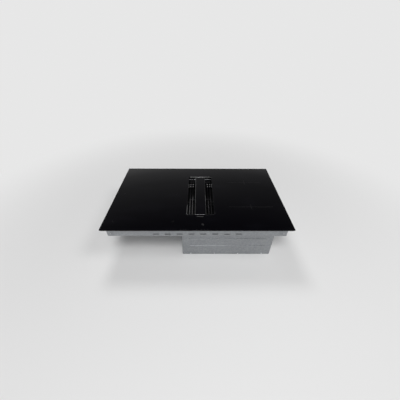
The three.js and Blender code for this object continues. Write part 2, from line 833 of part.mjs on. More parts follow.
function makeScroll() {
  const body = prism(scrollOutline(scrollWall), scrollUnder, scrollTop);
  const hollow = prism(scrollOutline(0), scrollFloor, scrollTop + overshoot);
  const mouth = block(
    [outletLeft, collarFront - scrollWall - fitGap - overshoot, scrollFloor],
    [outletRight, collarFront + overshoot, scrollTop + overshoot]);
  piece('blower_scroll', cut(body, [hollow, mouth]), blackPlastic);
  const eyeRadius = impellerRadius - bladeDepth - eyeMargin;
  const lid = prism(scrollOutline(scrollWall), scrollTop + fitGap, scrollTop + fitGap + scrollWall);
  const eye = disc(eyeRadius, scrollTop, scrollTop + eyeMargin + overshoot, largeRound);
  const lip = ring(
    eyeRadius + scrollWall, eyeRadius, scrollTop + fitGap, scrollTop + eyeMargin, largeRound);
  const cover = lid.subtract(eye.translate([blowerX, blowerY, 0]));
  piece('scroll_cover', cover.add(lip.translate([blowerX, blowerY, 0])), blackPlastic);
}

const impellerUnder = scrollFloor + impellerClearance;
const impellerTop = scrollTop - impellerClearance;
const motorTop = impellerUnder + (impellerTop - impellerUnder) * motorShare;

function makeMotorAndImpeller() {
  const group = placedGroup(blowerX, blowerY);
  const base = scrollFloor + fitGap;
  const baseTop = impellerUnder - swingGap / 2;
  const motorProfile = [
    [0, base], [motorBaseRadius, base], [motorBaseRadius, baseTop], [motorRadius, baseTop],
    [motorRadius, motorTop], [shaftRadius, motorTop], [shaftRadius, motorTop + shaftReach],
    [0, motorTop + shaftReach],
  ];
  piece('blower_motor', turned(motorProfile), darkSteel, group);

  const domeInner = motorRadius + hubGap;
  const domeOuter = domeInner + hubWall;
  const domeUnder = motorTop + swingGap;
  const domeTop = domeUnder + hubWall;
  const plateLevel = impellerUnder + impellerPlate;
  const hubProfile = [
    [domeInner, impellerUnder], [impellerRadius, impellerUnder], [impellerRadius, plateLevel],
    [domeOuter, plateLevel], [domeOuter, domeTop], [shaftRadius + fitGap, domeTop],
    [shaftRadius + fitGap, domeUnder], [domeInner, domeUnder],
  ];
  const band = ring(
    impellerRadius, impellerRadius - bladeDepth, impellerTop - impellerPlate, impellerTop, largeRound);
  const bladeUnder = impellerUnder + impellerPlate / 2;
  const bladeTop = impellerTop - impellerPlate / 2;
  const blades = Array.from({ length: bladeCount }, (_, i) => block(
    [impellerRadius - bladeDepth + bladeThickness / 2, -bladeThickness / 2, bladeUnder],
    [impellerRadius - bladeThickness / 2, bladeThickness / 2, bladeTop],
  ).rotate([0, 0, (360 * i) / bladeCount]));
  piece('impeller', joined([turned(hubProfile, largeRound), band, ...blades]), greyPlastic, group);
}

// A closed-in strip of electronics in front of the scroll.
function makeBlowerControl() {
  const front = housingFront + housingSheet + controlWall;
  const bottom = housingBottom + fitGap;
  const low = [blowerX - controlLength / 2, front, bottom];
  const high = [blowerX + controlLength / 2, front + controlDepth, bottom + controlHeight];
  const hollowLow = low.map((value) => value + controlWall);
  const hollow = block(hollowLow, [high[0] - controlWall, high[1] - controlWall, high[2] + overshoot]);
  piece('control_case', block(low, high).subtract(hollow), greyPlastic);
  const inset = controlWall + fitGap;
  const boardFace = (low[1] + high[1]) / 2;
  const board = block(
    [low[0] + inset, boardFace, low[2] + inset],
    [high[0] - inset, boardFace + boardThickness, high[2] - controlWall]);
  piece('control_board', board, boardGreen);
}

function makeHousing() {
  const width = housingRight - housingLeft;
  const depth = housingRear - housingFront;
  const x = (housingRight + housingLeft) / 2;
  const y = (housingRear + housingFront) / 2;
  const outline = (inset) => roundedRectangle(
    width - 2 * inset, depth - 2 * inset, housingCornerRadius - inset, x, y);
  const shell = prism(outline(0), housingBottom, housingTop).subtract(
    prism(outline(housingSheet), housingBottom - overshoot, housingTop + overshoot));
  const reach = collarWall + fitGap;
  const outletHole = block(
    [outletLeft - reach, housingRear - housingSheet - overshoot, scrollFloor - reach],
    [outletRight + reach, housingRear + overshoot, scrollTop + reach]);
  piece('blower_housing', shell.subtract(outletHole), galvanised);
  const sheet = prism(outline(0), 0, coverSheet);
  const upstandOuter = outline(housingSheet + fitGap);
  upstandOuter.holes.push(outline(2 * housingSheet + fitGap));
  const upstand = prism(upstandOuter, coverSheet / 2, upstandTop);
  return { sheet, upstand };
}

// The bottom cover, with the pillars that carry the well, the scroll and the control case.
function makeBottomCover({ sheet, upstand }) {
  const controlNotch = block(
    [blowerX - controlLength / 2 - overshoot, housingFront, coverSheet],
    [blowerX + controlLength / 2 + overshoot, housingFront + controlDepth, upstandTop + overshoot]);
  const pillar = (x, y, top) => block(
    [x - pillarHalf, y - pillarHalf, coverSheet / 2], [x + pillarHalf, y + pillarHalf, top - fitGap]);
  const pillars = [];
  for (const signX of [-1, 1]) {
    for (const signY of [-1, 1]) {
      pillars.push(pillar(
        openingOffset + signX * openingWidth / 4, signY * openingLength / 3, wellUnder));
      pillars.push(pillar(
        blowerX + signX * impellerRadius / 2, blowerY + signY * impellerRadius / 2, scrollUnder));
    }
  }
  const cover = joined([sheet, upstand.subtract(controlNotch), ...pillars]);
  piece('bottom_cover', cover, galvanised);
}

// ---------------------------------------------------------------- outlet collar and flaps

function makeOutlet() {
  const group = placedGroup(outletX, 0, outletZ);
  const rear = housingRear + collarLength;
  const halfWidth = outletWidth / 2;
  const halfHeight = outletHeight / 2;
  const duct = block(
    [-halfWidth - collarWall, collarFront, -halfHeight - collarWall],
    [halfWidth + collarWall, rear, halfHeight + collarWall]);
  const flangeFront = housingRear + fitGap;
  const flange = block(
    [-halfWidth - collarFlange, flangeFront, -halfHeight - collarFlange],
    [halfWidth + collarFlange, flangeFront + collarWall, halfHeight + collarFlange]);
  const bore = block(
    [-halfWidth, collarFront - overshoot, -halfHeight],
    [halfWidth, rear + overshoot, halfHeight]);
  const pinY = collarFront + flapPinInset;
  const alongX = (radius, from, to) => disc(radius, from, to, smallRound)
    .rotate([0, 90, 0]).translate([0, pinY, 0]);
  const pinHoles = alongX(flapPinRadius + fitGap, -outletWidth, outletWidth);
  piece('outlet_collar', cut(duct.add(flange), [bore, pinHoles]), galvanised, group);
  piece('flap_pin', alongX(flapPinRadius, -halfWidth - collarWall, halfWidth + collarWall),
    brightSteel, group);

  const knuckleInner = flapPinRadius + fitGap;
  const knuckleOuter = knuckleInner + knuckleWall;
  const makeFlap = (name, direction, knuckleX) => {
    const near = direction * (knuckleOuter + fitGap);
    const far = direction * (halfHeight - swingGap);
    const blade = block(
      [-halfWidth + swingGap, pinY - flapThickness / 2, Math.min(near, far)],
      [halfWidth - swingGap, pinY + flapThickness / 2, Math.max(near, far)]);
    const knuckles = [-knuckleX, knuckleX].map((x) => {
      const barrel = alongX(knuckleOuter, x - knuckleWidth / 2, x + knuckleWidth / 2);
      const root = direction * (knuckleOuter + 2 * flapThickness);
      const tab = block(
        [x - knuckleWidth / 2, pinY - flapThickness / 2, Math.min(0, root)],
        [x + knuckleWidth / 2, pinY + flapThickness / 2, Math.max(0, root)]);
      return barrel.add(tab);
    });
    const bores = alongX(knuckleInner, -outletWidth, outletWidth);
    piece(name, cut(joined([blade, ...knuckles]), [bores]), galvanised, group);
  };
  makeFlap('flap_upper', 1, upperKnuckleX);
  makeFlap('flap_lower', -1, lowerKnuckleX);
}

// ---------------------------------------------------------------- terminal box

function makeTerminalBox() {
  const left = -trayWidth / 2 + terminalInset;
  const rear = trayDepth / 2 - terminalRearGap;
  const top = trayUnder - fitGap;
  const bottom = top - terminalHeight;
  const low = [left, rear - terminalDepth, bottom];
  const high = [left + terminalWidth, rear, top];
  const hollow = block(
    [low[0] + terminalWall, low[1] + terminalWall, bottom - overshoot],
    [high[0] - terminalWall, high[1] - terminalWall, top - terminalWall]);
  const glandX = left + terminalWidth / 2;
  const glandZ = (top + bottom) / 2;
  const alongY = (shape) => shape.rotate([-90, 0, 0]).translate([glandX, 0, glandZ]);
  const glandHole = alongY(disc(glandNeck + fitGap, rear - 2 * terminalWall, rear + overshoot));
  piece('terminal_box', cut(block(low, high), [hollow, glandHole]), greyPlastic);

  const coverTop = bottom - fitGap;
  const cover = block([low[0], low[1], coverTop - terminalWall], [high[0], high[1], coverTop]);
  piece('terminal_cover', cover, greyPlastic);

  const blockWidth = terminalWidth - 4 * terminalWall;
  const blockTop = top - terminalWall - fitGap;
  const blockFront = low[1] + terminalWall + overshoot;
  const strip = block(
    [glandX - blockWidth / 2, blockFront, blockTop - terminalBlockHeight],
    [glandX + blockWidth / 2, blockFront + terminalBlockDepth, blockTop]);
  const pitch = blockWidth / terminalPoles;
  const wellTop = blockTop - terminalBlockHeight / 2;
  const wells = Array.from({ length: terminalPoles }, (_, i) => disc(
    terminalScrewRadius, blockTop - terminalBlockHeight - overshoot, wellTop, smallRound,
  ).translate([glandX - blockWidth / 2 + pitch * (i + 0.5), blockFront + terminalBlockDepth / 2, 0]));
  piece('terminal_block', cut(strip, wells), blackPlastic);

  const inner = rear - terminalWall - overshoot;
  const flangeAt = rear + fitGap;
  const glandProfile = [
    [glandBore, inner], [glandNeck, inner], [glandNeck, flangeAt], [glandRadius, flangeAt],
    [glandRadius, flangeAt + glandNut], [glandNeck, flangeAt + glandNut + glandBody / 2],
    [glandBore, flangeAt + glandNut + glandBody / 2],
  ];
  piece('cable_gland', alongY(turned(glandProfile)), blackPlastic);
}

// ---------------------------------------------------------------- worktop clamps

function makeClamp({ corner, signX, signY }) {
  const group = placedGroup(signX * clampPivotX, signY * clampPivotY);
  const armTop = clampEarUnder - fitGap;
  const armUnder = armTop - clampArmThickness;
  const boss = clampArmWidth / 2;
  const tip = -signY * clampArmLength;
  const arm = roundedRectangle(
    clampArmWidth, clampArmLength + boss, boss, 0, tip / 2 + (signY * boss) / 2);
  const hole = disc(clampScrewRadius + fitGap, armUnder - overshoot, armTop + overshoot, smallRound);
  const padInner = tip + signY * clampPadLength;
  const padRange = block(
    [-boss, Math.min(tip, padInner), armUnder], [boss, Math.max(tip, padInner), armTop + clampPadRise]);
  const pad = prism(arm, armUnder, armTop + clampPadRise).intersect(padRange);
  const shape = prism(arm, armUnder, armTop).subtract(hole).add(pad);
  piece(`clamp_arm_${corner}`, shape, galvanised, group);
  const headTop = armUnder - fitGap;
  const screwProfile = [
    [0, headTop - clampHeadHeight], [clampHeadRadius, headTop - clampHeadHeight],
    [clampHeadRadius, headTop], [clampScrewRadius, headTop],
    [clampScrewRadius, clampEarTop + clampScrewRise], [0, clampEarTop + clampScrewRise],
  ];
  piece(`clamp_screw_${corner}`, turned(screwProfile, smallRound), brightSteel, group);
}

// ---------------------------------------------------------------- the whole cooktop

makeGlass();
makeSeal();
makeTrim();
makeGrille();
makePanel();
makeBasket();
makeFilter('filter_front', -1);
makeFilter('filter_rear', 1);
makeDivider();
makeSpillTray();
makeWell();
makeHobTray();
for (const { side, x } of sides) {
  makeCoilPlate(side, x);
  for (const { row, y } of rows) {
    makeCoil(side, row, x, y);
  }
  makePowerBoard(side, x);
  makeCoolingFan(side, x);
}
makeTouchControl();
makeScroll();
makeMotorAndImpeller();
makeBlowerControl();
makeBottomCover(makeHousing());
makeOutlet();
makeTerminalBox();
corners.forEach(makeClamp);

export default assembly;
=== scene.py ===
# %% [markdown]
# # Dressing a built-in hob with a central extractor
# The frame holds every piece at its real place and size. This lesson gives the pieces their
# finish, adds the fine parts that a workshop would add last, and lights the whole on a pale floor.

import json
import math

import bmesh
import bpy
from mathutils import Matrix, Vector


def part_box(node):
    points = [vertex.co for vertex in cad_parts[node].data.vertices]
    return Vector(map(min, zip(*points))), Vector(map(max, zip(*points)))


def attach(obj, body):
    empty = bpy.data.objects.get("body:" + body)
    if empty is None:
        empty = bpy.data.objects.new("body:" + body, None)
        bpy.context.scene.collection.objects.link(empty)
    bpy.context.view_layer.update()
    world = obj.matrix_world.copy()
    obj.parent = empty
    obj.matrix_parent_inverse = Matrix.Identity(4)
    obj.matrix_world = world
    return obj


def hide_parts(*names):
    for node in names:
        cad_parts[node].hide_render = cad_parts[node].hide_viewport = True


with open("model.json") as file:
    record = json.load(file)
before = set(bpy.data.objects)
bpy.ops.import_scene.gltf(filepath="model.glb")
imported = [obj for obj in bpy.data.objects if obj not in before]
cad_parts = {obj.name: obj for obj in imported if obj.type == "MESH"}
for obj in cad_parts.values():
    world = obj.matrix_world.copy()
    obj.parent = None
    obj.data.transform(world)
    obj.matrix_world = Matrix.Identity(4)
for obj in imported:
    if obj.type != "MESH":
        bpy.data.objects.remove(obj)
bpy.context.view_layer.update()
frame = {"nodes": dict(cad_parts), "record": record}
MM = 0.001

# %% [markdown]
# ## The camera
# The four corners of the glass fix the camera: it stands in front of the hob, a little to the
# right of its middle, and looks about 38 degrees down through a wide lens.

# %% Place the camera
CAMERA_PLACE = Vector((3.7, -900.2, 874.4)) * MM
LOOK_DOWN = math.radians(38.069)
TURN = math.radians(-0.550)
ROLL = math.radians(0.417)
SENSOR = 36
FOCAL_SHARE = 218 / 400
NEAREST = 10 * MM


def add_camera():
    data = bpy.data.cameras.new("camera")
    data.sensor_width = SENSOR
    data.lens = SENSOR * FOCAL_SHARE
    data.clip_start = NEAREST
    camera = bpy.data.objects.new("camera", data)
    turn = Matrix.Rotation(TURN, 4, "Z")
    tilt = Matrix.Rotation(math.pi / 2 - LOOK_DOWN, 4, "X")
    roll = Matrix.Rotation(ROLL, 4, "Z")
    camera.matrix_world = Matrix.Translation(CAMERA_PLACE) @ turn @ tilt @ roll
    bpy.context.scene.collection.objects.link(camera)
    bpy.context.scene.camera = camera
    return camera


camera = add_camera()
print("lens", round(camera.data.lens, 2), "mm")

# %% [markdown]
# ## Writing shader maths as sums
# A finish is easier to read as an expression than as a heap of nodes. `Value` wraps one socket
# and turns +, -, * and / into Math nodes. `Recipe` makes every other node.


# %% A socket that does sums
class Value:
    def __init__(self, recipe, socket):
        self.recipe = recipe
        self.socket = socket

    def maths(self, operation, *inputs):
        return self.recipe.node("ShaderNodeMath", {"operation": operation}, dict(enumerate(inputs)))

    def __add__(self, other):
        return self.maths("ADD", self, other)

    def __radd__(self, other):
        return self.maths("ADD", other, self)

    def __sub__(self, other):
        return self.maths("SUBTRACT", self, other)

    def __rsub__(self, other):
        return self.maths("SUBTRACT", other, self)

    def __mul__(self, other):
        return self.maths("MULTIPLY", self, other)

    def __rmul__(self, other):
        return self.maths("MULTIPLY", other, self)

    def __abs__(self):
        return self.maths("ABSOLUTE", self)

    def between(self, low, high):
        """0 below low, 1 above high, and a smooth step from one to the other."""
        settings = {"interpolation_type": "SMOOTHSTEP"}
        return self.recipe.node("ShaderNodeMapRange", settings, {0: self, 1: low, 2: high})


# %% A recipe made of nodes
class Recipe:
    def __init__(self, tree):
        self.tree = tree

    def node(self, kind, settings, inputs, output=0):
        made = self.tree.nodes.new(kind)
        for key, value in settings.items():
            if key == "stops":
                self.set_stops(made.color_ramp.elements, value)
            else:
                setattr(made, key, value)
        for key, value in inputs.items():
            self.feed(made.inputs[key], value)
        return Value(self, made.outputs[output])

    def set_stops(self, stops, places):
        while len(stops) < len(places):
            stops.new(1.0)
        for stop, (place, level) in zip(stops, places):
            stop.position = place
            stop.color = (level, level, level, 1)

    def feed(self, socket, value):
        if isinstance(value, Value):
            self.tree.links.new(value.socket, socket)
        else:
            socket.default_value = value

    def place(self):
        return self.node("ShaderNodeTexCoord", {}, {}, "Object")

    def along(self, axis):
        return self.node("ShaderNodeSeparateXYZ", {}, {0: self.place()}, axis)

    def height(self):
        return self.along("Z")

    def stretched(self, x, y, z):
        return self.node("ShaderNodeMapping", {}, {"Vector": self.place(), "Scale": (x, y, z)})

    def noise(self, scale, detail=2.0, where=None):
        inputs = {"Vector": where or self.place(), "Scale": scale, "Detail": detail}
        return self.node("ShaderNodeTexNoise", {}, inputs)

    def cells(self, scale, output):
        inputs = {"Vector": self.place(), "Scale": scale}
        return self.node("ShaderNodeTexVoronoi", {"feature": "F1"}, inputs, output)

    def blend(self, factor, first, second):
        settings = {"data_type": "RGBA"}
        return self.node("ShaderNodeMix", settings, {0: factor, 6: rgba(first), 7: rgba(second)}, 2)

    def bump(self, height, strength, distance):
        inputs = {"Height": height, "Strength": strength, "Distance": distance}
        return self.node("ShaderNodeBump", {}, inputs)


def rgba(colour):
    return colour if isinstance(colour, Value) else (*colour, 1.0)


# %% A finish is a recipe with a surface
class Finish(Recipe):
    def __init__(self, name):
        self.material = bpy.data.materials.new(name)
        self.material.use_nodes = True
        super().__init__(self.material.node_tree)
        self.surface = self.tree.nodes["Principled BSDF"]

    def set(self, **sockets):
        for name, value in sockets.items():
            self.feed(self.surface.inputs[name.replace("_", " ")], value)
        return self.material

    def mix_in(self, factor, other):
        """Shows another shader instead of what is there where the factor is 1."""
        surface = self.tree.nodes["Material Output"].inputs["Surface"]
        before = Value(self, surface.links[0].from_socket)
        self.feed(surface, self.node("ShaderNodeMixShader", {}, {0: factor, 1: before, 2: other}))
        return self.material


# %% [markdown]
# ## Black glass ceramic
# The hob plate is opaque, almost black, and polished. Fingers and cloths leave areas that are a
# little less glossy, so the roughness wanders slowly over the plate. Its ground edge is matt and
# returns hardly any light, so a second, dull shader takes over just below the top face.

# %% Black glass
GLASS_BLACK = (0.0012, 0.0011, 0.0020)
GLASS_SMEAR = (0.0022, 0.0021, 0.0034)
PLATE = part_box("glass_top")[1].z
EDGE_BAND = (PLATE - 0.45 * MM, PLATE - 0.15 * MM)
DULL_BLACK = (0.003, 0.003, 0.004, 1)
SATIN = 0.30
MATT = 0.45


def dull_black(r, roughness):
    """A second shader, for black places that return hardly any light."""
    return r.node("ShaderNodeBsdfPrincipled", {}, {
        "Base Color": DULL_BLACK, "Roughness": roughness, "Specular IOR Level": 0.12})


def black_glass():
    r = Finish("black_glass_ceramic")
    smear = r.noise(7.0, 4.0, r.stretched(1.0, 2.4, 1.0)).between(0.45, 0.75)
    r.set(
        Base_Color=r.blend(smear, GLASS_BLACK, GLASS_SMEAR),
        Roughness=0.02 + smear * 0.02,
        IOR=1.5)
    return r.mix_in(1 - r.height().between(*EDGE_BAND), dull_black(r, MATT))


glass_finish = black_glass()
print("made", glass_finish.name)

# %% [markdown]
# ## Metals
# Fasteners are bright brushed steel: fine scratches run along their length. The thin frame of the
# centre panel is the same steel with a dark tint, and painted shade darkens it on the right at the
# back. The clips of the grille are spring steel, with painted shade on the front ones. The grille and
# basket have a hard black coating that wears thin in places. Cloths polish the tops of the grille's
# fins; a painted highlight greys them in patches in front, most of all on the left, and pale bare
# steel on its foot at the two ends is a painted highlight too. The trim is polished inside at its two
# ends and dull elsewhere. Below, sheet steel is galvanised, with small crystals, the filters are black
# anodised aluminium, and the paler grey of the divider between them is a painted highlight.


# %% Brushed steel, bright or tinted
def brushed_steel(name, dark, light, tone_shift=None):
    """Where given, the last argument is a function that paints shade into the plain colour."""
    r = Finish(name)
    grain = r.noise(400.0, 3.0, r.stretched(1.0, 0.02, 1.0))
    stain = r.noise(18.0, 2.0)
    colour = r.blend(stain, dark, light)
    return r.set(
        Base_Color=tone_shift(r, colour) if tone_shift else colour,
        Metallic=1.0,
        Roughness=0.24 + grain * 0.16,
        Normal=r.bump(grain, 0.15, 0.0002))


# %% Painted shade on the panel's rim and on the clips
RIM_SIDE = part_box("panel_frame")[1].x
RIM_SHADE_RIGHT = (RIM_SIDE - 4 * MM, RIM_SIDE - 3 * MM)
RIM_SHADE_REAR = (-20 * MM, 0)
CLIP_SHADE_REAR = (-20 * MM, -18 * MM)
PAINTED_SHADE_GREY = (0.07, 0.07, 0.072)


def rim_painted_shade(r, colour):
    """Painted shade: the tint is darkest on the right at the back."""
    corner = r.along("X").between(*RIM_SHADE_RIGHT) * r.along("Y").between(*RIM_SHADE_REAR)
    return r.blend(corner, colour, PAINTED_SHADE_GREY)


def clip_painted_shade(r, colour):
    # Painted shade: the clips at the front are darker than those at the back.
    return r.blend(r.along("Y").between(*CLIP_SHADE_REAR), PAINTED_SHADE_GREY, colour)


# %% Black coated steel
COATING = (0.0014, 0.0014, 0.0017)
THIN_COATING = (0.0042, 0.0042, 0.0048)


def thin_places(r):
    """Where a coating has worn thin, in streaks along the length."""
    return r.noise(60.0, 3.0, r.stretched(1.0, 0.1, 1.0)).between(0.55, 0.85)


def coated_steel(name, roughness, gloss):
    r = Finish(name)
    grit = r.noise(1800.0, 2.0)
    tone_shift = thin_places(r)
    r.set(
        Base_Color=r.blend(tone_shift, COATING, THIN_COATING),
        Metallic=0.0,
        Roughness=roughness + grit * 0.10 + tone_shift * 0.06,
        Specular_IOR_Level=gloss,
        Normal=r.bump(grit, 0.10, 0.0001))
    return r


# %% The grille is polished on top, with painted highlights on its fins and its foot
POLISHED_FROM = PLATE - 1.2 * MM
POLISHED_BAND = (POLISHED_FROM, POLISHED_FROM + 0.4 * MM)
# Where the painted highlights lie: on the fin tops in front, most on the left, and on the foot's two
# ends.
FIN_HIGHLIGHT_BAND = (-40 * MM, -5 * MM)
FIN_HIGHLIGHT_END = (155 * MM, 156.5 * MM)
FIN_HIGHLIGHT_SIDE = (57 * MM, 60 * MM)
FIN_HIGHLIGHT_CORNER = (-92 * MM, -88 * MM)
RIGHT_HIGHLIGHT_CUT = 0.8
FIN_HIGHLIGHT_GREY = (0.17, 0.17, 0.175, 1)
FOOT_HIGHLIGHT_STEEL = (0.50, 0.51, 0.53, 1)
grille_low, grille_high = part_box("grille")
GRILLE_MIDDLE = (grille_low.x + grille_high.x) / 2
FRAME_BAND = (58 * MM, 60 * MM)
FOOT_TOP = grille_low.z + 1.2 * MM
FOOT_BAND = (FOOT_TOP + 0.2 * MM, FOOT_TOP + 0.5 * MM)
FOOT_END = grille_high.y - 8 * MM
END_BAND = (FOOT_END, FOOT_END + 1 * MM)


def grille_coating():
    r = coated_steel("black_coated_grille", 0.50, 0.07)
    top = r.height().between(*POLISHED_BAND)
    r.mix_in(top, dull_black(r, SATIN))
    # Painted highlight: grey on the fin tops in front, in patches, strongest on the left and weaker on
    # the right.
    fin_highlight = r.node("ShaderNodeBsdfPrincipled", {}, {
        "Base Color": FIN_HIGHLIGHT_GREY, "Metallic": 0.4, "Roughness": 0.35})
    patches = r.noise(30.0, 2.0, r.stretched(4.0, 0.3, 1.0)).between(0.30, 0.55)
    fins = 1 - abs(r.along("X") - GRILLE_MIDDLE).between(*FRAME_BAND)
    front = (1 - r.along("Y").between(*FIN_HIGHLIGHT_BAND)) * (1 - abs(r.along("Y")).between(*FIN_HIGHLIGHT_END))
    dimmer_right = r.along("X").between(*FIN_HIGHLIGHT_SIDE) * RIGHT_HIGHLIGHT_CUT
    left = (GRILLE_MIDDLE - r.along("X")).between(*FRAME_BAND)
    corner = left * (1 - r.along("Y").between(*FIN_HIGHLIGHT_CORNER))
    r.mix_in(top * (fins * front * patches * (1 - dimmer_right) + corner), fin_highlight)
    # Painted highlight: pale bare steel on the foot at its two ends.
    foot_highlight = r.node("ShaderNodeBsdfPrincipled", {}, {
        "Base Color": FOOT_HIGHLIGHT_STEEL, "Metallic": 0.3, "Roughness": 0.45})
    low = 1 - r.height().between(*FOOT_BAND)
    end = abs(r.along("Y")).between(*END_BAND)
    return r.mix_in(low * end, foot_highlight)


# %% The trim is polished inside at its two ends and dull elsewhere
TRIM_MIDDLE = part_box("opening_trim")[1].y - 0.7 * MM
TRIM_BAND = (TRIM_MIDDLE, TRIM_MIDDLE + 0.2 * MM)
TRIM_SIDE = (TRIM_MIDDLE - 14 * MM, TRIM_MIDDLE - 8 * MM)


def trim_coating():
    r = Finish("black_polished_trim")
    tone_shift = thin_places(r)
    outside = abs(r.along("Y")).between(*TRIM_BAND)
    r.set(
        Base_Color=r.blend(tone_shift, (0.006, 0.006, 0.007), (0.018, 0.018, 0.020)),
        Roughness=0.10 + tone_shift * 0.05 + outside * 0.5)
    return r.mix_in(1 - abs(r.along("Y")).between(*TRIM_SIDE), dull_black(r, MATT))


# %% Galvanised sheet
def galvanised():
    r = Finish("galvanised_sheet")
    shade = r.node("ShaderNodeRGBToBW", {}, {"Color": r.cells(190.0, "Color")})
    cloud = r.noise(9.0, 3.0)
    fine = r.noise(420.0, 3.0)
    return r.set(
        Base_Color=r.blend(shade * 0.6 + cloud * 0.4, (0.24, 0.25, 0.265), (0.40, 0.415, 0.43)),
        Metallic=0.75,
        Roughness=0.36 + shade * 0.12 + fine * 0.08,
        Normal=r.bump(fine, 0.08, 0.0002))


# %% Aluminium, plain or anodised black
def aluminium(name, dark, light):
    r = Finish(name)
    rolled = r.noise(260.0, 3.0, r.stretched(0.06, 1.0, 1.0))
    return r.set(
        Base_Color=r.blend(rolled, dark, light),
        Metallic=1.0,
        Roughness=0.3 + rolled * 0.2,
        Normal=r.bump(rolled, 0.1, 0.0002))


# %% Enamelled copper
def enamelled_copper():
    r = Finish("enamelled_copper")
    strands = r.noise(900.0, 2.0)
    return r.set(
        Base_Color=r.blend(strands, (0.40, 0.15, 0.06), (0.72, 0.34, 0.16)),
        Metallic=0.9,
        Roughness=0.28 + strands * 0.15,
        Normal=r.bump(strands, 0.3, 0.0002))


steel = brushed_steel("bright_brushed_steel", (0.66, 0.67, 0.69), (0.78, 0.79, 0.80))
tinted = brushed_steel(
    "tinted_brushed_steel", (0.19, 0.19, 0.195), (0.26, 0.26, 0.265), rim_painted_shade)
spring = brushed_steel("spring_steel", (0.50, 0.50, 0.51), (0.72, 0.72, 0.73), clip_painted_shade)
coated = coated_steel("black_coated_steel", 0.42, 0.10).material
polished = trim_coating()
grille_coated = grille_coating()
zinc = galvanised()
alu = aluminium("plain_aluminium", (0.55, 0.56, 0.57), (0.74, 0.75, 0.76))
black_alu = aluminium("black_anodised_aluminium", (0.010, 0.010, 0.011), (0.026, 0.026, 0.028))
# Painted highlight: the divider between the filters is a paler grey than the filters.
divider_highlight_alu = aluminium("divider_painted_highlight_aluminium", (0.07, 0.07, 0.072), (0.11, 0.11, 0.112))
copper = enamelled_copper()
metals = (
    steel, tinted, spring, coated, grille_coated, polished, zinc, alu, black_alu, divider_highlight_alu, copper)
print("metals", [metal.name for metal in metals])

# %% [markdown]
# ## Plastics, foam, boards and print
# Moulded plastic has a fine even texture from the mould. The seal is closed-cell foam. The marks
# on the glass are fired-on grey print, so they are matt where the glass is glossy.


# %% Moulded plastic
def moulded(name, dark, light, roughness):
    r = Finish(name)
    texture = r.noise(1500.0, 2.0)
    cloud = r.noise(25.0, 2.0)
    return r.set(
        Base_Color=r.blend(cloud, dark, light),
        Roughness=roughness + texture * 0.15,
        Normal=r.bump(texture, 0.15, 0.0001))


# %% Foam, boards and print
def foam_tape():
    r = Finish("foam_tape")
    cells = r.cells(1400.0, "Distance")
    return r.set(
        Base_Color=r.blend(cells, (0.018, 0.018, 0.020), (0.045, 0.045, 0.048)),
        Roughness=0.95,
        Normal=r.bump(cells, 0.5, 0.0003))


def circuit_board():
    r = Finish("circuit_board")
    tracks = r.node("ShaderNodeTexBrick", {}, {"Vector": r.place(), "Scale": 90.0}, "Fac")
    return r.set(
        Base_Color=r.blend(tracks, (0.012, 0.11, 0.05), (0.03, 0.2, 0.09)),
        Roughness=0.35 + tracks * 0.15)


def fired_print(name, level):
    r = Finish(name)
    grain = r.noise(2500.0, 1.0)
    return r.set(
        Base_Color=r.blend(grain, (level * 0.8,) * 3, (level * 1.1,) * 3),
        Roughness=0.5 + grain * 0.1,
        Specular_IOR_Level=0.2)


black_plastic = moulded("black_plastic", (0.010, 0.010, 0.012), (0.02, 0.02, 0.022), 0.42)
grey_plastic = moulded("grey_plastic", (0.17, 0.175, 0.19), (0.24, 0.25, 0.265), 0.45)
foam = foam_tape()
board = circuit_board()
faint_print = fired_print("faint_print", 0.018)
clear_print = fired_print("clear_print", 0.10)
others = (black_plastic, grey_plastic, foam, board, faint_print, clear_print)
print("others", [other.name for other in others])

# %% [markdown]
# ## Dressing the frame's own pieces
# The frame's solids have the right shape but razor edges. A Weld modifier joins their split
# corners; on the grille, the panel frame, the trim and the terminal box and its cover a Decimate one
# joins the triangles of each flat face; and a small Bevel rounds the edges that light would catch.
# Each solid then gets the finish of its slot in the record, or, for the grille, the trim and the
# filter divider, a finish of its own.

# %% Finish and soften every frame piece
FINISHES = {
    "black_glass": glass_finish, "bright_steel": steel, "tinted_steel": tinted,
    "dark_steel": coated, "galvanised": zinc,
    "aluminium": alu, "dark_aluminium": black_alu, "copper": copper,
    "black_plastic": black_plastic, "grey_plastic": grey_plastic, "foam": foam, "board": board,
}
EDGE_ANGLE = math.radians(40)
FLAT_ANGLE = math.radians(0.5)
WELD_GAP = 0.002 * MM
FINE_EDGE = 0.25 * MM
SOFT_EDGE = 0.45 * MM
SOFT_NODES = ("grille", "panel_frame", "opening_trim", "terminal_box", "terminal_cover")
# The grille and the trim have finishes of their own; the divider's paler grey is a painted highlight.
OWN_FINISHES = {"grille": grille_coated, "opening_trim": polished, "filter_divider": divider_highlight_alu}
CHAMFER = 0.45 * MM
RIM_EDGE = 0.7 * MM


def soften(node, width):
    node.data.shade_smooth()
    if "custom_normal" in node.data.attributes:
        node.data.attributes.remove(node.data.attributes["custom_normal"])
    weld = node.modifiers.new("weld", "WELD")
    weld.merge_threshold = WELD_GAP
    if node.name in SOFT_NODES:
        flat = node.modifiers.new("flat faces", "DECIMATE")
        flat.decimate_type = "DISSOLVE"
        flat.angle_limit = FLAT_ANGLE
    bevel = node.modifiers.new("bevel", "BEVEL")
    bevel.width = width
    bevel.segments = 2
    bevel.limit_method = "ANGLE"
    bevel.angle_limit = EDGE_ANGLE
    bevel.harden_normals = True


def chamfer(node):
    """One flat 45 degree edge, which mirrors a lamp along its whole length."""
    node.data.shade_flat()
    bevel = node.modifiers["bevel"]
    bevel.width = CHAMFER
    bevel.segments = 1
    bevel.use_clamp_overlap = False
    bevel.harden_normals = False


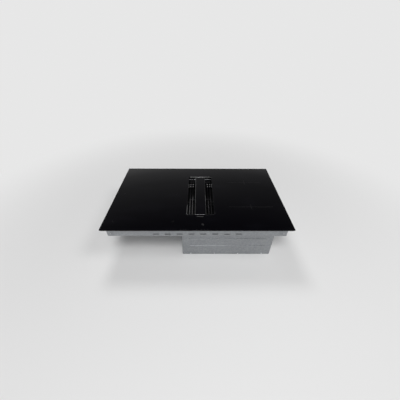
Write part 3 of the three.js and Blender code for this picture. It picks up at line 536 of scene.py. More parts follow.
def dress_frame():
    for entry in frame["record"]["subparts"]:
        node = frame["nodes"][entry["node"]]
        node.data.materials.clear()
        finish = OWN_FINISHES.get(entry["node"], FINISHES[entry["material_slot"]])
        node.data.materials.append(finish)
        soften(node, SOFT_EDGE if entry["node"] in SOFT_NODES else FINE_EDGE)
    chamfer(frame["nodes"]["opening_trim"])
    frame["nodes"]["panel_frame"].modifiers["bevel"].width = RIM_EDGE


dress_frame()
print("dressed", len(frame["nodes"]), "frame pieces")

# %% [markdown]
# ## Small tools for new pieces
# Every new piece is built with bmesh from rings of points: a turned part is rings of growing and
# shrinking radius, a wire is equal rings along a path. `add_piece` turns all faces outward, gives
# the mesh its finish and hands it to the body that carries it.


# %% Hand a piece over
def add_piece(name, shape, finish, body, smooth=True):
    bmesh.ops.recalc_face_normals(shape, faces=shape.faces)
    mesh = bpy.data.meshes.new(name)
    shape.to_mesh(mesh)
    shape.free()
    mesh.materials.append(finish)
    if smooth:
        mesh.shade_smooth()
        mesh.set_sharp_from_angle(angle=EDGE_ANGLE)
    made = bpy.data.objects.new(name, mesh)
    bpy.context.scene.collection.objects.link(made)
    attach(made, body)
    return made


# %% Boxes and rings
def add_box(shape, low, high, edge=0.0, segments=2):
    """A box between two corners, with its edges rounded by edge."""
    low, high = Vector(low), Vector(high)
    middle = Matrix.Translation((low + high) / 2)
    size = Matrix.Diagonal((*(high - low), 1))
    made = bmesh.ops.create_cube(shape, size=1, matrix=middle @ size)
    if edge:
        edges = {e for v in made["verts"] for e in v.link_edges}
        bmesh.ops.bevel(
            shape, geom=list(edges), offset=edge, segments=segments, affect="EDGES", profile=0.5)


def link_rings(shape, rings, tube=False):
    """Skins a row of rings and closes both ends, or joins the last ring to the first."""
    count = len(rings[0])
    for lower, upper in zip(rings, rings[1:] + rings[:1] if tube else rings[1:]):
        for i in range(count):
            j = (i + 1) % count
            shape.faces.new((lower[i], lower[j], upper[j], upper[i]))
    if not tube:
        shape.faces.new(rings[0])
        shape.faces.new(rings[-1])


# %% Turned parts
def circle(angle):
    return 1.0


def hexagon(angle):
    """How far a hexagon's side lies from its middle, with its corners at 1."""
    sixth = math.pi / 3
    return math.cos(sixth / 2) / math.cos(angle % sixth - sixth / 2)


def add_turned(shape, profile, matrix, steps=24, tube=False):
    """Rings of (radius, height, outline) about Z, placed by a matrix. The outline may be left out."""
    rings = []
    for radius, height, *outline in profile:
        form = outline[0] if outline else circle
        ring = []
        for i in range(steps):
            angle = 2 * math.pi * i / steps
            r = radius * form(angle)
            ring.append(shape.verts.new(
                matrix @ Vector((r * math.cos(angle), r * math.sin(angle), height))))
        rings.append(ring)
    link_rings(shape, rings, tube)


def facing(place, direction):
    """The matrix that stands a turned part at a place, pointing along a direction."""
    turn = Vector(direction).to_track_quat("Z", "Y").to_matrix().to_4x4()
    return Matrix.Translation(Vector(place)) @ turn


# %% Wires and strips
def add_wire(shape, path, radius, sides=8):
    """A round wire along a list of points."""
    rings = []
    side = None
    for i, point in enumerate(path):
        along = (path[min(i + 1, len(path) - 1)] - path[max(i - 1, 0)]).normalized()
        start = side if side else along.orthogonal()
        side = (start - along * start.dot(along)).normalized()
        other = along.cross(side)
        ring = []
        for k in range(sides):
            angle = 2 * math.pi * k / sides
            offset = side * math.cos(angle) + other * math.sin(angle)
            ring.append(shape.verts.new(point + offset * radius))
        rings.append(ring)
    link_rings(shape, rings)


def add_strip(shape, path, width, height):
    """A flat strip along a list of points, width across and height thick."""
    up = Vector((0, 0, height / 2))
    rings = []
    for i, point in enumerate(path):
        along = (path[min(i + 1, len(path) - 1)] - path[max(i - 1, 0)]).normalized()
        across = along.cross(Vector((0, 0, 1))) * (width / 2)
        corners = (across + up, up - across, -across - up, across - up)
        rings.append([shape.verts.new(point + corner) for corner in corners])
    link_rings(shape, rings)


# %% [markdown]
# ## Screws
# Sheet metal is held by pan-head screws with a hexagon socket. One ring profile draws the rounded
# head and drops into the socket, so the recess is real geometry.

# %% A screw head
SCREW_HEAD = 3.0 * MM
SCREW_RISE = 1.7 * MM
DOME_SHARES = [(0.96, -0.3), (1, 0.15), (0.97, 0.55), (0.82, 0.88), (0.6, 1)]
SOCKET_SHARES = [(0.52, 1), (0.48, 0.3)]


def add_screw(shape, place, direction, head=SCREW_HEAD):
    """The shares are of the head's radius and of its rise above the sheet."""
    profile = [(head * across, SCREW_RISE * up) for across, up in DOME_SHARES]
    profile += [(head * across, SCREW_RISE * up, hexagon) for across, up in SOCKET_SHARES]
    add_turned(shape, profile, facing(place, direction))


# %% [markdown]
# ## Clips of the grille
# Two pairs of cross rods carry the fins. Each fin is held to each rod by a small spring clip that
# straddles its top, and each end of a rod sits in a saddle on the frame. From the photo's view the
# clips and saddles at the back are two rows of dots, three on each side of the panel.

# %% Grille clips
panel_low, panel_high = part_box("panel_frame")
GRILLE_HALF = (grille_high.x - grille_low.x) / 2
FIN = 1.8 * MM
FRAME_WALL = 1.8 * MM
FINS_PER_SIDE = 2
FIN_TOP = PLATE - 0.6 * MM
ROD_PLACES = [y * MM for y in (-85, -66, 66, 85)]
CLIP_HALF = 2.2 * MM
CLIP_SHOULDER = CLIP_HALF * 0.95
CLIP_SHEET = 0.5 * MM
CLIP_DROP = 6 * MM
SADDLE = 3.4 * MM
SADDLE_EDGE = 0.5 * MM
SADDLE_SEAT = FRAME_WALL * 0.8


def fin_places():
    inner = (panel_high.x - panel_low.x) / 2
    outer = GRILLE_HALF - FRAME_WALL / 2
    pitch = (outer - inner) / (FINS_PER_SIDE + 1)
    offsets = [inner + pitch * (i + 1) for i in range(FINS_PER_SIDE)]
    return [GRILLE_MIDDLE + sign * offset for sign in (-1, 1) for offset in offsets]


def add_clip(shape, x, y):
    """One bent strip: up one side of the fin, over its top and down the other side."""
    drop = FIN_TOP - CLIP_DROP
    wall = FIN / 2 + CLIP_SHEET
    outer = [
        (wall, drop), (wall, FIN_TOP - CLIP_HALF), (CLIP_SHOULDER, FIN_TOP),
        (wall, FIN_TOP + CLIP_SHEET),
    ]
    inner = [(FIN / 2, drop), (FIN / 2, FIN_TOP)]
    right = inner[:1] + outer
    section = right + [(-across, level) for across, level in reversed(right)] + [
        (-across, level) for across, level in inner[1:]] + inner[1:]
    rings = [[shape.verts.new((x + across, y + end, level)) for across, level in section]
             for end in (-CLIP_HALF, CLIP_HALF)]
    link_rings(shape, rings)


def add_saddle(shape, side, y):
    """A folded block on the inner face of the frame, round the end of a rod."""
    wall = GRILLE_MIDDLE + side * (GRILLE_HALF - SADDLE_SEAT)
    ends = sorted((wall, wall - side * SADDLE))
    add_box(
        shape, (ends[0], y - CLIP_HALF, FIN_TOP - CLIP_DROP), (ends[1], y + CLIP_HALF, FIN_TOP),
        SADDLE_EDGE)


def add_clips():
    shape = bmesh.new()
    for y in ROD_PLACES:
        for x in fin_places():
            add_clip(shape, x, y)
        for side in (-1, 1):
            add_saddle(shape, side, y)
    return add_piece("grille_clips", shape, spring, "grille_body")


add_clips()
print("clips", len(fin_places()) * len(ROD_PLACES), "saddles", 2 * len(ROD_PLACES))

# %% [markdown]
# ## Expanded mesh of the filters
# A grease filter is a frame full of expanded metal: sheet slit and pulled so that it opens into
# diamonds. Each strand is a zigzag strip, and its neighbour is the mirror of it, so they touch at
# the knots. Every filter has two layers above its slotted core and one below.

# %% Filter mesh
DIAMOND = Vector((10, 5.2)) * MM
STRAND = Vector((1.1, 0.7)) * MM
FILTER_FRAME = 6 * MM
MESH_LEVELS = {"upper": -1.4 * MM, "middle": -2.8 * MM, "lower": -10.6 * MM}


def add_mesh_layer(shape, low, high, level, shift):
    columns = int((high.x - low.x) / (DIAMOND.x / 2))
    rows = int((high.y - low.y) / DIAMOND.y)
    step_x = (high.x - low.x) / columns
    step_y = (high.y - low.y) / rows
    for row in range(rows):
        middle = low.y + step_y * (row + 0.5)
        path = []
        for column in range(columns + 1):
            swing = 1 if (column + row + shift) % 2 else -1
            path.append(Vector((
                low.x + step_x * column, middle + swing * step_y / 2, level + swing * STRAND.y / 4)))
        add_strip(shape, path, *STRAND)


def add_filter_mesh(node):
    low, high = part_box(node)
    inset = Vector((FILTER_FRAME, FILTER_FRAME, 0))
    shape = bmesh.new()
    for shift, level in enumerate(MESH_LEVELS.values()):
        add_mesh_layer(shape, low + inset, high - inset, high.z + level, shift)
    return add_piece(f"{node}_mesh", shape, black_alu, "filter_body", smooth=False)


for node_name in ("filter_front", "filter_rear"):
    add_filter_mesh(node_name)
print("mesh layers", list(MESH_LEVELS))

# %% [markdown]
# ## Induction coils
# A coil is one flat spiral of stranded wire, wound from the hub to the rim. The frame's plain
# rings only hold its place, so each one is replaced by the spiral, with a real gap at every turn.

# %% Coil spirals
COIL_TURNS = 21
STEPS_A_TURN = 40
COIL_INNER = 26 * MM
COIL_RIM = 1.6 * MM
WIRE_SHARE = 0.46


def add_coil(node):
    low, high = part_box(node)
    middle = (low + high) / 2
    outer = (high.x - low.x) / 2 - COIL_RIM
    path = []
    for i in range(COIL_TURNS * STEPS_A_TURN + 1):
        share = i / (COIL_TURNS * STEPS_A_TURN)
        angle = 2 * math.pi * i / STEPS_A_TURN
        radius = COIL_INNER + (outer - COIL_INNER) * share
        path.append(middle + Vector((radius * math.cos(angle), radius * math.sin(angle), 0)))
    shape = bmesh.new()
    pitch = (outer - COIL_INNER) / COIL_TURNS
    add_wire(shape, path, pitch * WIRE_SHARE)
    made = add_piece(f"{node}_winding", shape, copper, "hob")
    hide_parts(node)
    return pitch


for row in ("front", "rear"):
    for side in ("left", "right"):
        coil_pitch = add_coil(f"coil_{row}_{side}")
print("coil pitch", round(coil_pitch / MM, 2), "mm")

# %% [markdown]
# ## Housing details
# The blower housing is folded sheet. Pressed beads stiffen its walls, screws along the foot hold
# the bottom cover, and more screws hold the flange of the outlet collar at the back.

# %% Beads on the housing
housing_low, housing_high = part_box("blower_housing")
BEAD_HALF = 5.5 * MM
BEAD_RISE = 2.2 * MM
BEAD_ROUND = BEAD_RISE * 0.95
BEAD_STEPS = 4
BEAD_INSET = 34 * MM
BEAD_LEVELS = (0.38, 0.68)


def add_housing_beads():
    shape = bmesh.new()
    height = housing_high.z - housing_low.z
    for level in BEAD_LEVELS:
        z = housing_low.z + height * level
        for x in (housing_low.x, housing_high.x):
            add_box(
                shape,
                (x - BEAD_RISE, housing_low.y + BEAD_INSET, z - BEAD_HALF),
                (x + BEAD_RISE, housing_high.y - BEAD_INSET, z + BEAD_HALF),
                BEAD_ROUND, BEAD_STEPS)
        add_box(
            shape,
            (housing_low.x + BEAD_INSET, housing_low.y - BEAD_RISE, z - BEAD_HALF),
            (housing_high.x - BEAD_INSET, housing_low.y + BEAD_RISE, z + BEAD_HALF),
            BEAD_ROUND, BEAD_STEPS)
    return add_piece("housing_beads", shape, zinc, "hob")


add_housing_beads()
print("bead levels", BEAD_LEVELS)

# %% Screws on the housing and the collar
collar_low, collar_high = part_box("outlet_collar")
SCREW_INSET = 40 * MM
SCREW_LEVEL = 5.2 * MM
FLANGE_EDGE = 3.6 * MM
FLANGE_SHEET = 1.5 * MM
FLANGE_SCREW = 2.6 * MM
FLANGE_SIDE_INSET = 12 * MM
FLANGE_TOP_INSET = 40 * MM


def spread(start, end, count):
    return [start + (end - start) * i / (count - 1) for i in range(count)]


def add_housing_screws():
    shape = bmesh.new()
    for x in spread(housing_low.x + SCREW_INSET, housing_high.x - SCREW_INSET, 4):
        add_screw(shape, (x, housing_low.y, SCREW_LEVEL), (0, -1, 0))
    for y in spread(housing_low.y + SCREW_INSET, housing_high.y - SCREW_INSET, 4):
        add_screw(shape, (housing_low.x, y, SCREW_LEVEL), (-1, 0, 0))
        add_screw(shape, (housing_high.x, y, SCREW_LEVEL), (1, 0, 0))
    for x in spread(housing_low.x + SCREW_INSET, collar_low.x - SCREW_INSET / 2, 3):
        add_screw(shape, (x, housing_high.y, SCREW_LEVEL), (0, 1, 0))
    back = housing_high.y + FLANGE_SHEET
    for x in (collar_low.x + FLANGE_EDGE, collar_high.x - FLANGE_EDGE):
        for z in spread(collar_low.z + FLANGE_SIDE_INSET, collar_high.z - FLANGE_SIDE_INSET, 3):
            add_screw(shape, (x, back, z), (0, 1, 0), FLANGE_SCREW)
    for x in spread(collar_low.x + FLANGE_TOP_INSET, collar_high.x - FLANGE_TOP_INSET, 3):
        add_screw(shape, (x, back, collar_high.z - FLANGE_EDGE), (0, 1, 0), FLANGE_SCREW)
    return add_piece("housing_screws", shape, steel, "hob")


add_housing_screws()
print("collar", round((collar_high.x - collar_low.x) / MM, 1), "mm wide")

# %% [markdown]
# ## The folded corners of the tray
# The tray is folded from one sheet. At each corner a tab of the end wall laps over the long wall
# and two domed rivets hold it.

# %% Corner tabs and rivets
tray_low, tray_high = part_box("hob_tray")
TRAY_EAR = 14 * MM
TRAY_FLANGE = 5 * MM
TRAY_CORNER = 8 * MM
TAB = Vector((20, 1.0, 38)) * MM
TAB_DROP = 7 * MM
TAB_EDGE = 0.35 * MM
RIVET = 2.4 * MM
RIVET_RISE = 1.1 * MM
RIVET_NECK = 0.2
RIVET_DOME = (0.4, 0.8, 1.2)
RIVET_SHARES = (0.25, 0.75)
tray_x = tray_high.x - TRAY_EAR
tray_y = tray_high.y - TRAY_FLANGE


def add_rivet(shape, place, direction):
    profile = [(RIVET, -RIVET_RISE * 0.3), (RIVET, RIVET_RISE * RIVET_NECK)]
    profile += [(RIVET * math.cos(a), RIVET_RISE * (RIVET_NECK + (1 - RIVET_NECK) * math.sin(a)))
                for a in RIVET_DOME]
    add_turned(shape, profile, facing(place, direction), 16)


def add_tray_tabs():
    tabs, rivets = bmesh.new(), bmesh.new()
    top = tray_high.z - TAB_DROP
    for side_x in (-1, 1):
        for side_y in (-1, 1):
            near = side_x * (tray_x - TRAY_CORNER)
            far = near - side_x * TAB.x
            wall, face = side_y * tray_y, side_y * (tray_y + TAB.y)
            low = (min(near, far), min(wall, face), top - TAB.z)
            high = (max(near, far), max(wall, face), top)
            add_box(tabs, low, high, TAB_EDGE)
            for share in RIVET_SHARES:
                place = ((near + far) / 2, face, top - TAB.z * share)
                add_rivet(rivets, place, (0, side_y, 0))
    add_piece("tray_corner_tabs", tabs, zinc, "hob")
    add_piece("tray_rivets", rivets, alu, "hob")


add_tray_tabs()
print("tray walls", round(tray_x / MM, 1), round(tray_y / MM, 1))

# %% [markdown]
# ## Clamp screws with a real thread
# Four screws pull the clamp arms up under the worktop. A thread is a ring profile whose radius
# goes in and out once a pitch, and the place where it does so turns with the height, so the
# rings draw one unbroken helix.

# %% Clamp screws
THREAD_PITCH = 0.8 * MM
THREAD_DEPTH = 0.14
RINGS_A_PITCH = 6
SHANK = 2.45 * MM
CLAMP_HEAD = 4.4 * MM
CLAMP_HEAD_HEIGHT = 4 * MM
SOCKET = 2.3 * MM
SOCKET_DEPTH = 2.2 * MM


def thread(height):
    """The outline of the threaded shank at one height."""
    turn = 2 * math.pi * height / THREAD_PITCH
    return lambda angle: 1 - THREAD_DEPTH * (0.5 + 0.5 * math.cos(turn - angle))


def add_clamp_screw(corner):
    node = f"clamp_screw_{corner}"
    low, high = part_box(node)
    length = high.z - low.z
    profile = [
        (SOCKET * 0.96, SOCKET_DEPTH, hexagon), (SOCKET, 0, hexagon), (CLAMP_HEAD * 0.9, 0),
        (CLAMP_HEAD, CLAMP_HEAD * 0.1), (CLAMP_HEAD, CLAMP_HEAD_HEIGHT * 0.93),
        (CLAMP_HEAD * 0.95, CLAMP_HEAD_HEIGHT), (SHANK, CLAMP_HEAD_HEIGHT),
    ]
    start = CLAMP_HEAD_HEIGHT + THREAD_PITCH
    count = int((length - start - THREAD_PITCH) / THREAD_PITCH * RINGS_A_PITCH)
    for i in range(count):
        height = start + i * THREAD_PITCH / RINGS_A_PITCH
        profile.append((SHANK, height, thread(height)))
    profile.append((SHANK * 0.7, length))
    shape = bmesh.new()
    foot = Vector(((low.x + high.x) / 2, (low.y + high.y) / 2, low.z))
    add_turned(shape, profile, Matrix.Translation(foot), 16)
    made = add_piece(f"{node}_threaded", shape, steel, "hob")
    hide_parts(node)
    return length


for corner in ("front_left", "front_right", "rear_left", "rear_right"):
    screw_length = add_clamp_screw(corner)
print("clamp screws", round(screw_length / MM, 1), "mm long")

# %% [markdown]
# ## Cable gland and terminal box
# The mains lead would enter through a gland: a hexagon flange against the box, a ribbed nut that
# is turned by hand, and a soft insert that grips the lead. The lead itself is left out, so the
# insert is open. The box has two ribs on each end wall, two in front, and four screws in its cover.

# %% Cable gland
gland_low, gland_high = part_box("cable_gland")
terminal_low, terminal_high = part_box("terminal_box")
GLAND_BORE = 7 * MM
GLAND_NECK = 8.5 * MM
GLAND_NUT = 12 * MM
GLAND_HEX = 3.4 * MM
GLAND_GRIP = 9 * MM
GRIP_RIBS = 16
GLAND_SEAT = 0.3 * MM
RUBBER = 1.9 * MM
RUBBER_GAP = 0.05 * MM


def ribbed(angle):
    """The outline of the nut that is turned by hand."""
    return 0.95 + 0.03 * math.cos(GRIP_RIBS * angle)


def add_gland():
    middle = (gland_low + gland_high) / 2
    length = gland_high.y - gland_low.y
    wall = terminal_high.y - gland_low.y + GLAND_SEAT
    lip = GLAND_NECK * 0.97
    body = [
        (GLAND_BORE, 0), (GLAND_NECK, 0), (GLAND_NECK, wall), (GLAND_NUT * 0.99, wall, hexagon),
        (GLAND_NUT * 0.99, wall + GLAND_HEX, hexagon), (GLAND_NUT * 0.8, wall + GLAND_HEX * 1.1),
        (GLAND_NUT * 0.8, wall + GLAND_HEX * 1.3), (GLAND_NUT, wall + GLAND_HEX * 1.4, ribbed),
        (GLAND_NUT, wall + GLAND_GRIP, ribbed), (GLAND_NUT * 0.92, wall + GLAND_GRIP * 1.15),
        (GLAND_NUT * 0.84, length - 3.0 * MM), (lip, length - 0.6 * MM),
        (lip * 0.95, length), (GLAND_BORE, length),
    ]
    shape = bmesh.new()
    place = facing((middle.x, gland_low.y, middle.z), (0, 1, 0))
    add_turned(shape, body, place, 96, tube=True)
    made = add_piece("cable_gland_body", shape, black_plastic, "hob")
    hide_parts("cable_gland")
    insert = bmesh.new()
    bore = GLAND_BORE - RUBBER
    ring = [
        (bore, length * 0.5), (GLAND_BORE - RUBBER_GAP, length * 0.5),
        (GLAND_BORE - RUBBER_GAP, length - 0.8 * MM), (bore * 1.1, length - 0.4 * MM),
        (bore, length - 1.2 * MM),
    ]
    add_turned(insert, ring, place, 48, tube=True)
    add_piece("cable_gland_insert", insert, foam, "hob")
    return length


print("gland", round(add_gland() / MM, 1), "mm long")

# %% Ribs and screws of the terminal box
TERMINAL_RIB = 1.2 * MM
TERMINAL_RIB_EDGE = 0.4 * MM
TERMINAL_RIB_INSET = 3 * MM
END_RIB_SHARES = (0.3, 0.7)
FRONT_RIB_INSET = 30 * MM
TERMINAL_INSET = 8 * MM


def rib_places():
    """Two ribs on each end wall and two in front."""
    depth = terminal_high.y - terminal_low.y
    ends = [(x, terminal_low.y + depth * share)
            for x in (terminal_low.x, terminal_high.x) for share in END_RIB_SHARES]
    front = [(x, terminal_low.y)
             for x in (terminal_low.x + FRONT_RIB_INSET, terminal_high.x - FRONT_RIB_INSET)]
    return ends + front


def add_terminal_details():
    ribs, screws = bmesh.new(), bmesh.new()
    middle = (terminal_low + terminal_high) / 2
    foot, head = terminal_low.z + TERMINAL_RIB_INSET, terminal_high.z - TERMINAL_RIB_INSET
    for x, y in rib_places():
        low = (x - TERMINAL_RIB, y - TERMINAL_RIB, foot)
        high = (x + TERMINAL_RIB, y + TERMINAL_RIB, head)
        add_box(ribs, low, high, TERMINAL_RIB_EDGE)
    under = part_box("terminal_cover")[0].z
    for x in (terminal_low.x + TERMINAL_INSET, terminal_high.x - TERMINAL_INSET):
        for y in (terminal_low.y + TERMINAL_INSET, terminal_high.y - TERMINAL_INSET):
            add_screw(screws, (x, y, under), (0, 0, -1))
    add_piece("terminal_ribs", ribs, grey_plastic, "hob")
    add_piece("terminal_screws", screws, steel, "hob")
    return middle


print("terminal box at", [round(v / MM) for v in add_terminal_details()])

# %% [markdown]
# ## The collar's gasket
# Flat duct slides over the collar at the back and seals on a band of foam tape.

# %% Gasket round the collar
FLANGE_RIM = 8 * MM
COLLAR_WALL = 1.2 * MM
BAND_START = 3.5 * MM
BAND_WIDTH = 7 * MM
BAND_RISE = 1.6 * MM
BAND_CORNER = 0.6 * MM
BAND_GAP = 0.05 * MM


def add_gasket():
    rim = FLANGE_RIM - COLLAR_WALL
    low_x, high_x = collar_low.x + rim, collar_high.x - rim
    low_z, high_z = collar_low.z + rim, collar_high.z - rim
    start = housing_high.y + FLANGE_SHEET + BAND_START
    shape = bmesh.new()
    for z, sign in ((low_z, -1), (high_z, 1)):
        ends = sorted((z + sign * BAND_GAP, z + sign * BAND_RISE))
        add_box(
            shape, (low_x, start, ends[0]), (high_x, start + BAND_WIDTH, ends[1]), BAND_CORNER)
    for x, sign in ((low_x, -1), (high_x, 1)):
        ends = sorted((x + sign * BAND_GAP, x + sign * BAND_RISE))
        add_box(
            shape, (ends[0], start, low_z - BAND_RISE),
            (ends[1], start + BAND_WIDTH, high_z + BAND_RISE), BAND_CORNER)
    return add_piece("collar_gasket", shape, foam, "hob")


add_gasket()
print("gasket", round(BAND_WIDTH / MM, 1), "mm wide")

# %% [markdown]
# ## Handles and ribs that show when the stack is lifted out
# Each filter has a flat wire handle beside the divider. The spill tray has a grid of low moulded
# ribs, which keep spilt liquid from sloshing.

# %% Filter handles
HANDLE_HALF = 22 * MM
HANDLE_REACH = 26 * MM
HANDLE_START = 9 * MM
HANDLE_WIRE = 1.1 * MM
HANDLE_LIFT = HANDLE_WIRE * 1.1
HANDLE_SINK = 1 * MM
HANDLE_CORNER = 5 * MM
HANDLE_STEPS = 4


def add_handle(node, away):
    low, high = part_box(node)
    x = (low.x + high.x) / 2
    start = x - HANDLE_HALF
    level = high.z + HANDLE_LIFT
    inner = (low.y if away > 0 else high.y) + away * HANDLE_START
    corner = inner + away * (HANDLE_REACH - HANDLE_CORNER)
    path = [Vector((start, inner, z)) for z in (high.z - HANDLE_SINK, level)]
    for i in range(HANDLE_STEPS + 1):
        a = math.pi / 2 / HANDLE_STEPS * i
        path.append(Vector((
            start + HANDLE_CORNER * (1 - math.cos(a)),
            corner + away * HANDLE_CORNER * math.sin(a), level)))
    path += [Vector((2 * x - p.x, p.y, p.z)) for p in reversed(path)]
    shape = bmesh.new()
    add_wire(shape, path, HANDLE_WIRE)
    return add_piece(f"{node}_handle", shape, steel, "filter_body")


add_handle("filter_front", -1)
add_handle("filter_rear", 1)
print("handles", 2)

# %% Ribs of the spill tray
SPILL_WALL = 1.2 * MM
SPILL_RIB = Vector((1.4, 1.4, 2.0)) * MM
SPILL_RIB_EDGE = 0.3 * MM
SPILL_SINK = 0.2 * MM
SPILL_INSET = SPILL_WALL * 1.5
SPILL_ROWS = 7
SPILL_COLUMNS = 3


def add_spill_ribs():
    low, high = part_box("spill_tray")
    floor = low.z + SPILL_WALL
    start = low + Vector((1, 1, 0)) * SPILL_INSET
    end = high - Vector((1, 1, 0)) * SPILL_INSET
    shape = bmesh.new()
    for i in range(1, SPILL_ROWS):
        y = low.y + (high.y - low.y) * i / SPILL_ROWS
        add_box(
            shape, (start.x, y - SPILL_RIB.y / 2, floor - SPILL_SINK),
            (end.x, y + SPILL_RIB.y / 2, floor + SPILL_RIB.z), SPILL_RIB_EDGE)
    for i in range(1, SPILL_COLUMNS):
        x = low.x + (high.x - low.x) * i / SPILL_COLUMNS
        add_box(
            shape, (x - SPILL_RIB.x / 2, start.y, floor - SPILL_SINK),
            (x + SPILL_RIB.x / 2, end.y, floor + SPILL_RIB.z * 0.8), SPILL_RIB_EDGE)
    return add_piece("spill_tray_ribs", shape, black_plastic, "spill_tray_body")


add_spill_ribs()
print("spill tray ribs", SPILL_ROWS + SPILL_COLUMNS - 2)

# %% [markdown]
# ## Parts on the power boards
# Each board carries smoothing capacitors, two chokes and a row of relays. They stand on the board
# between the heatsink and its edges, lower than the coil plate above them.

# %% Power board parts
CAPACITOR = (8.5 * MM, 17 * MM)
CHOKE = (9 * MM, 3.6 * MM)
CHOKE_WIRE = 0.75 * MM
CHOKE_FOOT = 1 * MM
CHOKE_TURNS = 16
CHOKE_STEPS = 10
CHOKE_SHARE = 0.94
RELAY = Vector((15, 19, 15)) * MM
RELAY_EDGE = 0.8 * MM
PART_PITCH = 27 * MM
CAPACITORS = 4
CHOKES = 2
RELAYS = 5
EDGE_GAP = 22 * MM


def add_capacitor(shape, place):
    radius, height = CAPACITOR
    profile = [
        (radius * 0.9, 0), (radius, 0.6 * MM), (radius, height * 0.80), (radius * 0.93, height * 0.84),
        (radius, height * 0.88), (radius, height * 0.97), (radius * 0.92, height),
        (radius * 0.8, height - 0.4 * MM),
    ]
    add_turned(shape, profile, Matrix.Translation(place))


def add_choke(shape, place):
    """A wire wound round most of a ring, as one open path of small loops."""
    ring, tube = CHOKE
    count = CHOKE_TURNS * CHOKE_STEPS
    path = []
    for i in range(count + 1):
        round_ring = 2 * math.pi * i / count * CHOKE_SHARE
        loop = 2 * math.pi * i / CHOKE_STEPS
        reach = ring + tube * math.cos(loop)
        path.append(place + Vector((
            reach * math.cos(round_ring), reach * math.sin(round_ring),
            tube + CHOKE_FOOT + tube * math.sin(loop))))
    add_wire(shape, path, CHOKE_WIRE, 6)


def add_board_parts(side):
    low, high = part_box(f"power_board_{side}")
    cans, coils, boxes = bmesh.new(), bmesh.new(), bmesh.new()
    for i in range(CAPACITORS):
        place = Vector((low.x + EDGE_GAP, low.y + EDGE_GAP + PART_PITCH * i, high.z))
        add_capacitor(cans, place)
    for i in range(CHOKES):
        place = Vector((low.x + EDGE_GAP, high.y - EDGE_GAP * 1.4 - PART_PITCH * 1.2 * i, high.z))
        add_choke(coils, place)
    for i in range(RELAYS):
        y = low.y + EDGE_GAP + PART_PITCH * 1.6 * i
        corner = Vector((high.x - EDGE_GAP - RELAY.x, y, high.z))
        add_box(boxes, corner, corner + RELAY, RELAY_EDGE)
    add_piece(f"capacitors_{side}", cans, alu, "hob")
    add_piece(f"chokes_{side}", coils, copper, "hob")
    add_piece(f"relays_{side}", boxes, black_plastic, "hob")
    return high.z + CAPACITOR[1]


for side in ("left", "right"):
    parts_top = add_board_parts(side)
plate_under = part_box("coil_plate_left")[0].z
print("parts up to", round(parts_top / MM, 1), "coil plate", round(plate_under / MM, 1))

# %% [markdown]
# ## The lights and the room
# The photo's plate is dark in front and paler towards the back, and a little paler on the left,
# because it mirrors a room that is bright near the horizon and dim higher up. The world repeats
# that: pale up to 26 degrees and near black from 45. Three soft lamps hang higher than anything
# that the plate mirrors in the usual views. Only the key lamp in front shows as a glint on steel
# edges. The other two fill the shadows and are kept out of the plate.

# %% The world
HORIZON = 0.80
ROOM_STOPS = [
    (0.0, HORIZON), (0.44, HORIZON), (0.507, 0.27), (0.545, 0.16), (0.583, 0.12),
    (0.62, 0.082), (0.655, 0.052), (0.69, 0.030), (0.72, 0.022), (1.0, 0.012),
]
SIDE_SPAN = (-0.12, 0.42)
SIDE_LEVELS = (1.05, 0.55)
SIDE_STARTS = (0.44, 0.50)


def add_world():
    world = bpy.data.worlds.new("studio")
    world.use_nodes = True
    r = Recipe(world.node_tree)
    direction = r.node("ShaderNodeTexCoord", {}, {}, "Generated")
    across = r.node("ShaderNodeSeparateXYZ", {}, {0: direction}, "X")
    up = r.node("ShaderNodeSeparateXYZ", {}, {0: direction}, "Z")
    left, right = SIDE_LEVELS
    side = left - across.between(*SIDE_SPAN) * (left - right)
    background = world.node_tree.nodes["Background"]
    r.feed(background.inputs["Color"], r.node("ShaderNodeValToRGB", {"stops": ROOM_STOPS}, {0: up}))
    r.feed(background.inputs["Strength"], 1 + up.between(*SIDE_STARTS) * (side - 1))
    bpy.context.scene.world = world


add_world()
bpy.context.scene.view_settings.view_transform = "Standard"
print("world stops", len(ROOM_STOPS))


# %% Lamps
LAMP_SIZE = 1.0
LAMP_TARGET = Vector((0, 0, 0.15))
LAMPS = {
    "key_lamp": ((-0.10, -1.6, 2.55), 36, True),
    "fill_lamp": ((1.45, -0.7, 2.5), 20, False),
    "rear_lamp": ((-0.55, 1.35, 2.65), 24, False),
}


def add_lamp(name, place, power, mirrored):
    data = bpy.data.lights.new(name, "AREA")
    data.shape = "DISK"
    data.size = LAMP_SIZE
    data.energy = power
    lamp = bpy.data.objects.new(name, data)
    lamp.visible_glossy = mirrored
    lamp.location = place
    lamp.rotation_euler = (LAMP_TARGET - Vector(place)).to_track_quat("-Z", "Y").to_euler()
    bpy.context.scene.collection.objects.link(lamp)


for lamp_name, (lamp_place, lamp_power, lamp_mirrored) in LAMPS.items():
    add_lamp(lamp_name, lamp_place, lamp_power, lamp_mirrored)
print("lamps", list(LAMPS))

# %% [markdown]
# ## The floor
# A plain pale floor carries the shadow. Far away it fades into the room's own colour, so no
# horizon line shows.

# %% Floor
FLOOR_HALF = 8.0
FLOOR_DROP = 0.4 * MM
FLOOR_PALE = (0.80, 0.80, 0.80, 1)
FADE_START = 0.55
FADE_END = 1.6


def add_floor():
    shape = bmesh.new()
    bmesh.ops.create_grid(shape, x_segments=1, y_segments=1, size=FLOOR_HALF)
    mesh = bpy.data.meshes.new("floor")
    shape.to_mesh(mesh)
    shape.free()
    floor = bpy.data.objects.new("floor", mesh)
    floor.location.z = -FLOOR_DROP
    bpy.context.scene.collection.objects.link(floor)
    r = Finish("pale_floor")
    away = r.node("ShaderNodeVectorMath", {"operation": "LENGTH"}, {0: r.place()}, "Value")
    r.set(Base_Color=FLOOR_PALE, Roughness=0.9)
    glow = r.node("ShaderNodeEmission", {}, {"Color": (HORIZON, HORIZON, HORIZON, 1)})
    mesh.materials.append(r.mix_in(away.between(FADE_START, FADE_END), glow))


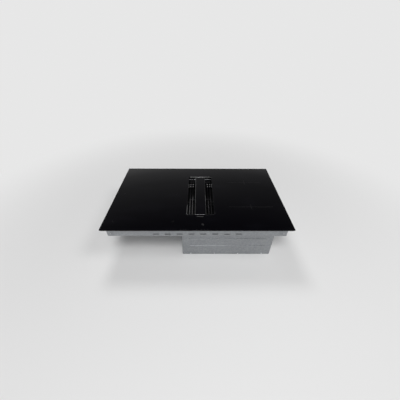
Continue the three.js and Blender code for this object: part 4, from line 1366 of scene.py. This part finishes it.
add_floor()
print("floor", 2 * FLOOR_HALF, "m wide")

# %% [markdown]
# ## Marks on the glass
# Thin grey lines show where pans go: a long cross on each right-hand zone, and small corner ticks
# round the one big zone on the left. They are fired on, so each is a skin of print that stands a
# twentieth of a millimetre above the plate. The touch marks in front are plain and generic.

# %% Places of the zones
PRINT = 0.05 * MM
RIGHT_ZONES = [(255, 104, 92), (255, -104, 105)]
CROSS_TICK = 16
LINE = 1.0
LEFT_AREA = {"x": -239.5, "half_x": 133.5, "half_y": 207}
TICK = 7


def add_dash(shape, x, y, width, depth):
    add_box(shape,
            (Vector((x - width / 2, y - depth / 2, 0)) * MM) + Vector((0, 0, PLATE - PRINT)),
            (Vector((x + width / 2, y + depth / 2, 0)) * MM) + Vector((0, 0, PLATE + PRINT)))


# %% Zone marks
def add_zone_marks():
    shape = bmesh.new()
    for x, y, reach in RIGHT_ZONES:
        add_dash(shape, x, y, 2 * reach, LINE)
        for sign in (-1, 1):
            add_dash(shape, x, y + sign * (CROSS_TICK / 2 + LINE / 2), LINE, CROSS_TICK)
    for side in (-1, 1):
        x = LEFT_AREA["x"] + side * LEFT_AREA["half_x"]
        add_dash(shape, x, 0, TICK * 1.4, LINE)
        for end in (-1, 1):
            y = end * LEFT_AREA["half_y"]
            add_dash(shape, x - side * TICK / 2, y, TICK, LINE)
            add_dash(shape, x, y - end * (TICK / 2 + LINE / 2), LINE, TICK)
    return add_piece("zone_marks", shape, faint_print, "hob", smooth=False)


# %% Touch marks
SLIDER = (12, -172)
SLIDER_SIZE = (31, 1.6)
KEY = (23, -223.5)
KEY_RING = 4.2
KEY_DOT = 1
KEY_BAR = 0.9
RING_DASHES = 20


def add_touch_marks():
    shape = bmesh.new()
    add_dash(shape, *SLIDER, *SLIDER_SIZE)
    for i in range(RING_DASHES):
        angle = 2 * math.pi * i / RING_DASHES
        x = KEY[0] + KEY_RING * math.cos(angle)
        y = KEY[1] + KEY_RING * math.sin(angle)
        add_dash(shape, x, y, KEY_DOT, KEY_DOT)
    add_dash(shape, KEY[0], KEY[1] + KEY_RING * 0.8, KEY_BAR, KEY_RING * 0.9)
    return add_piece("touch_marks", shape, clear_print, "hob", smooth=False)


add_zone_marks()
add_touch_marks()
print("print level", round(PLATE / MM, 2), "mm")

# %% Finish
bpy.context.view_layer.update()
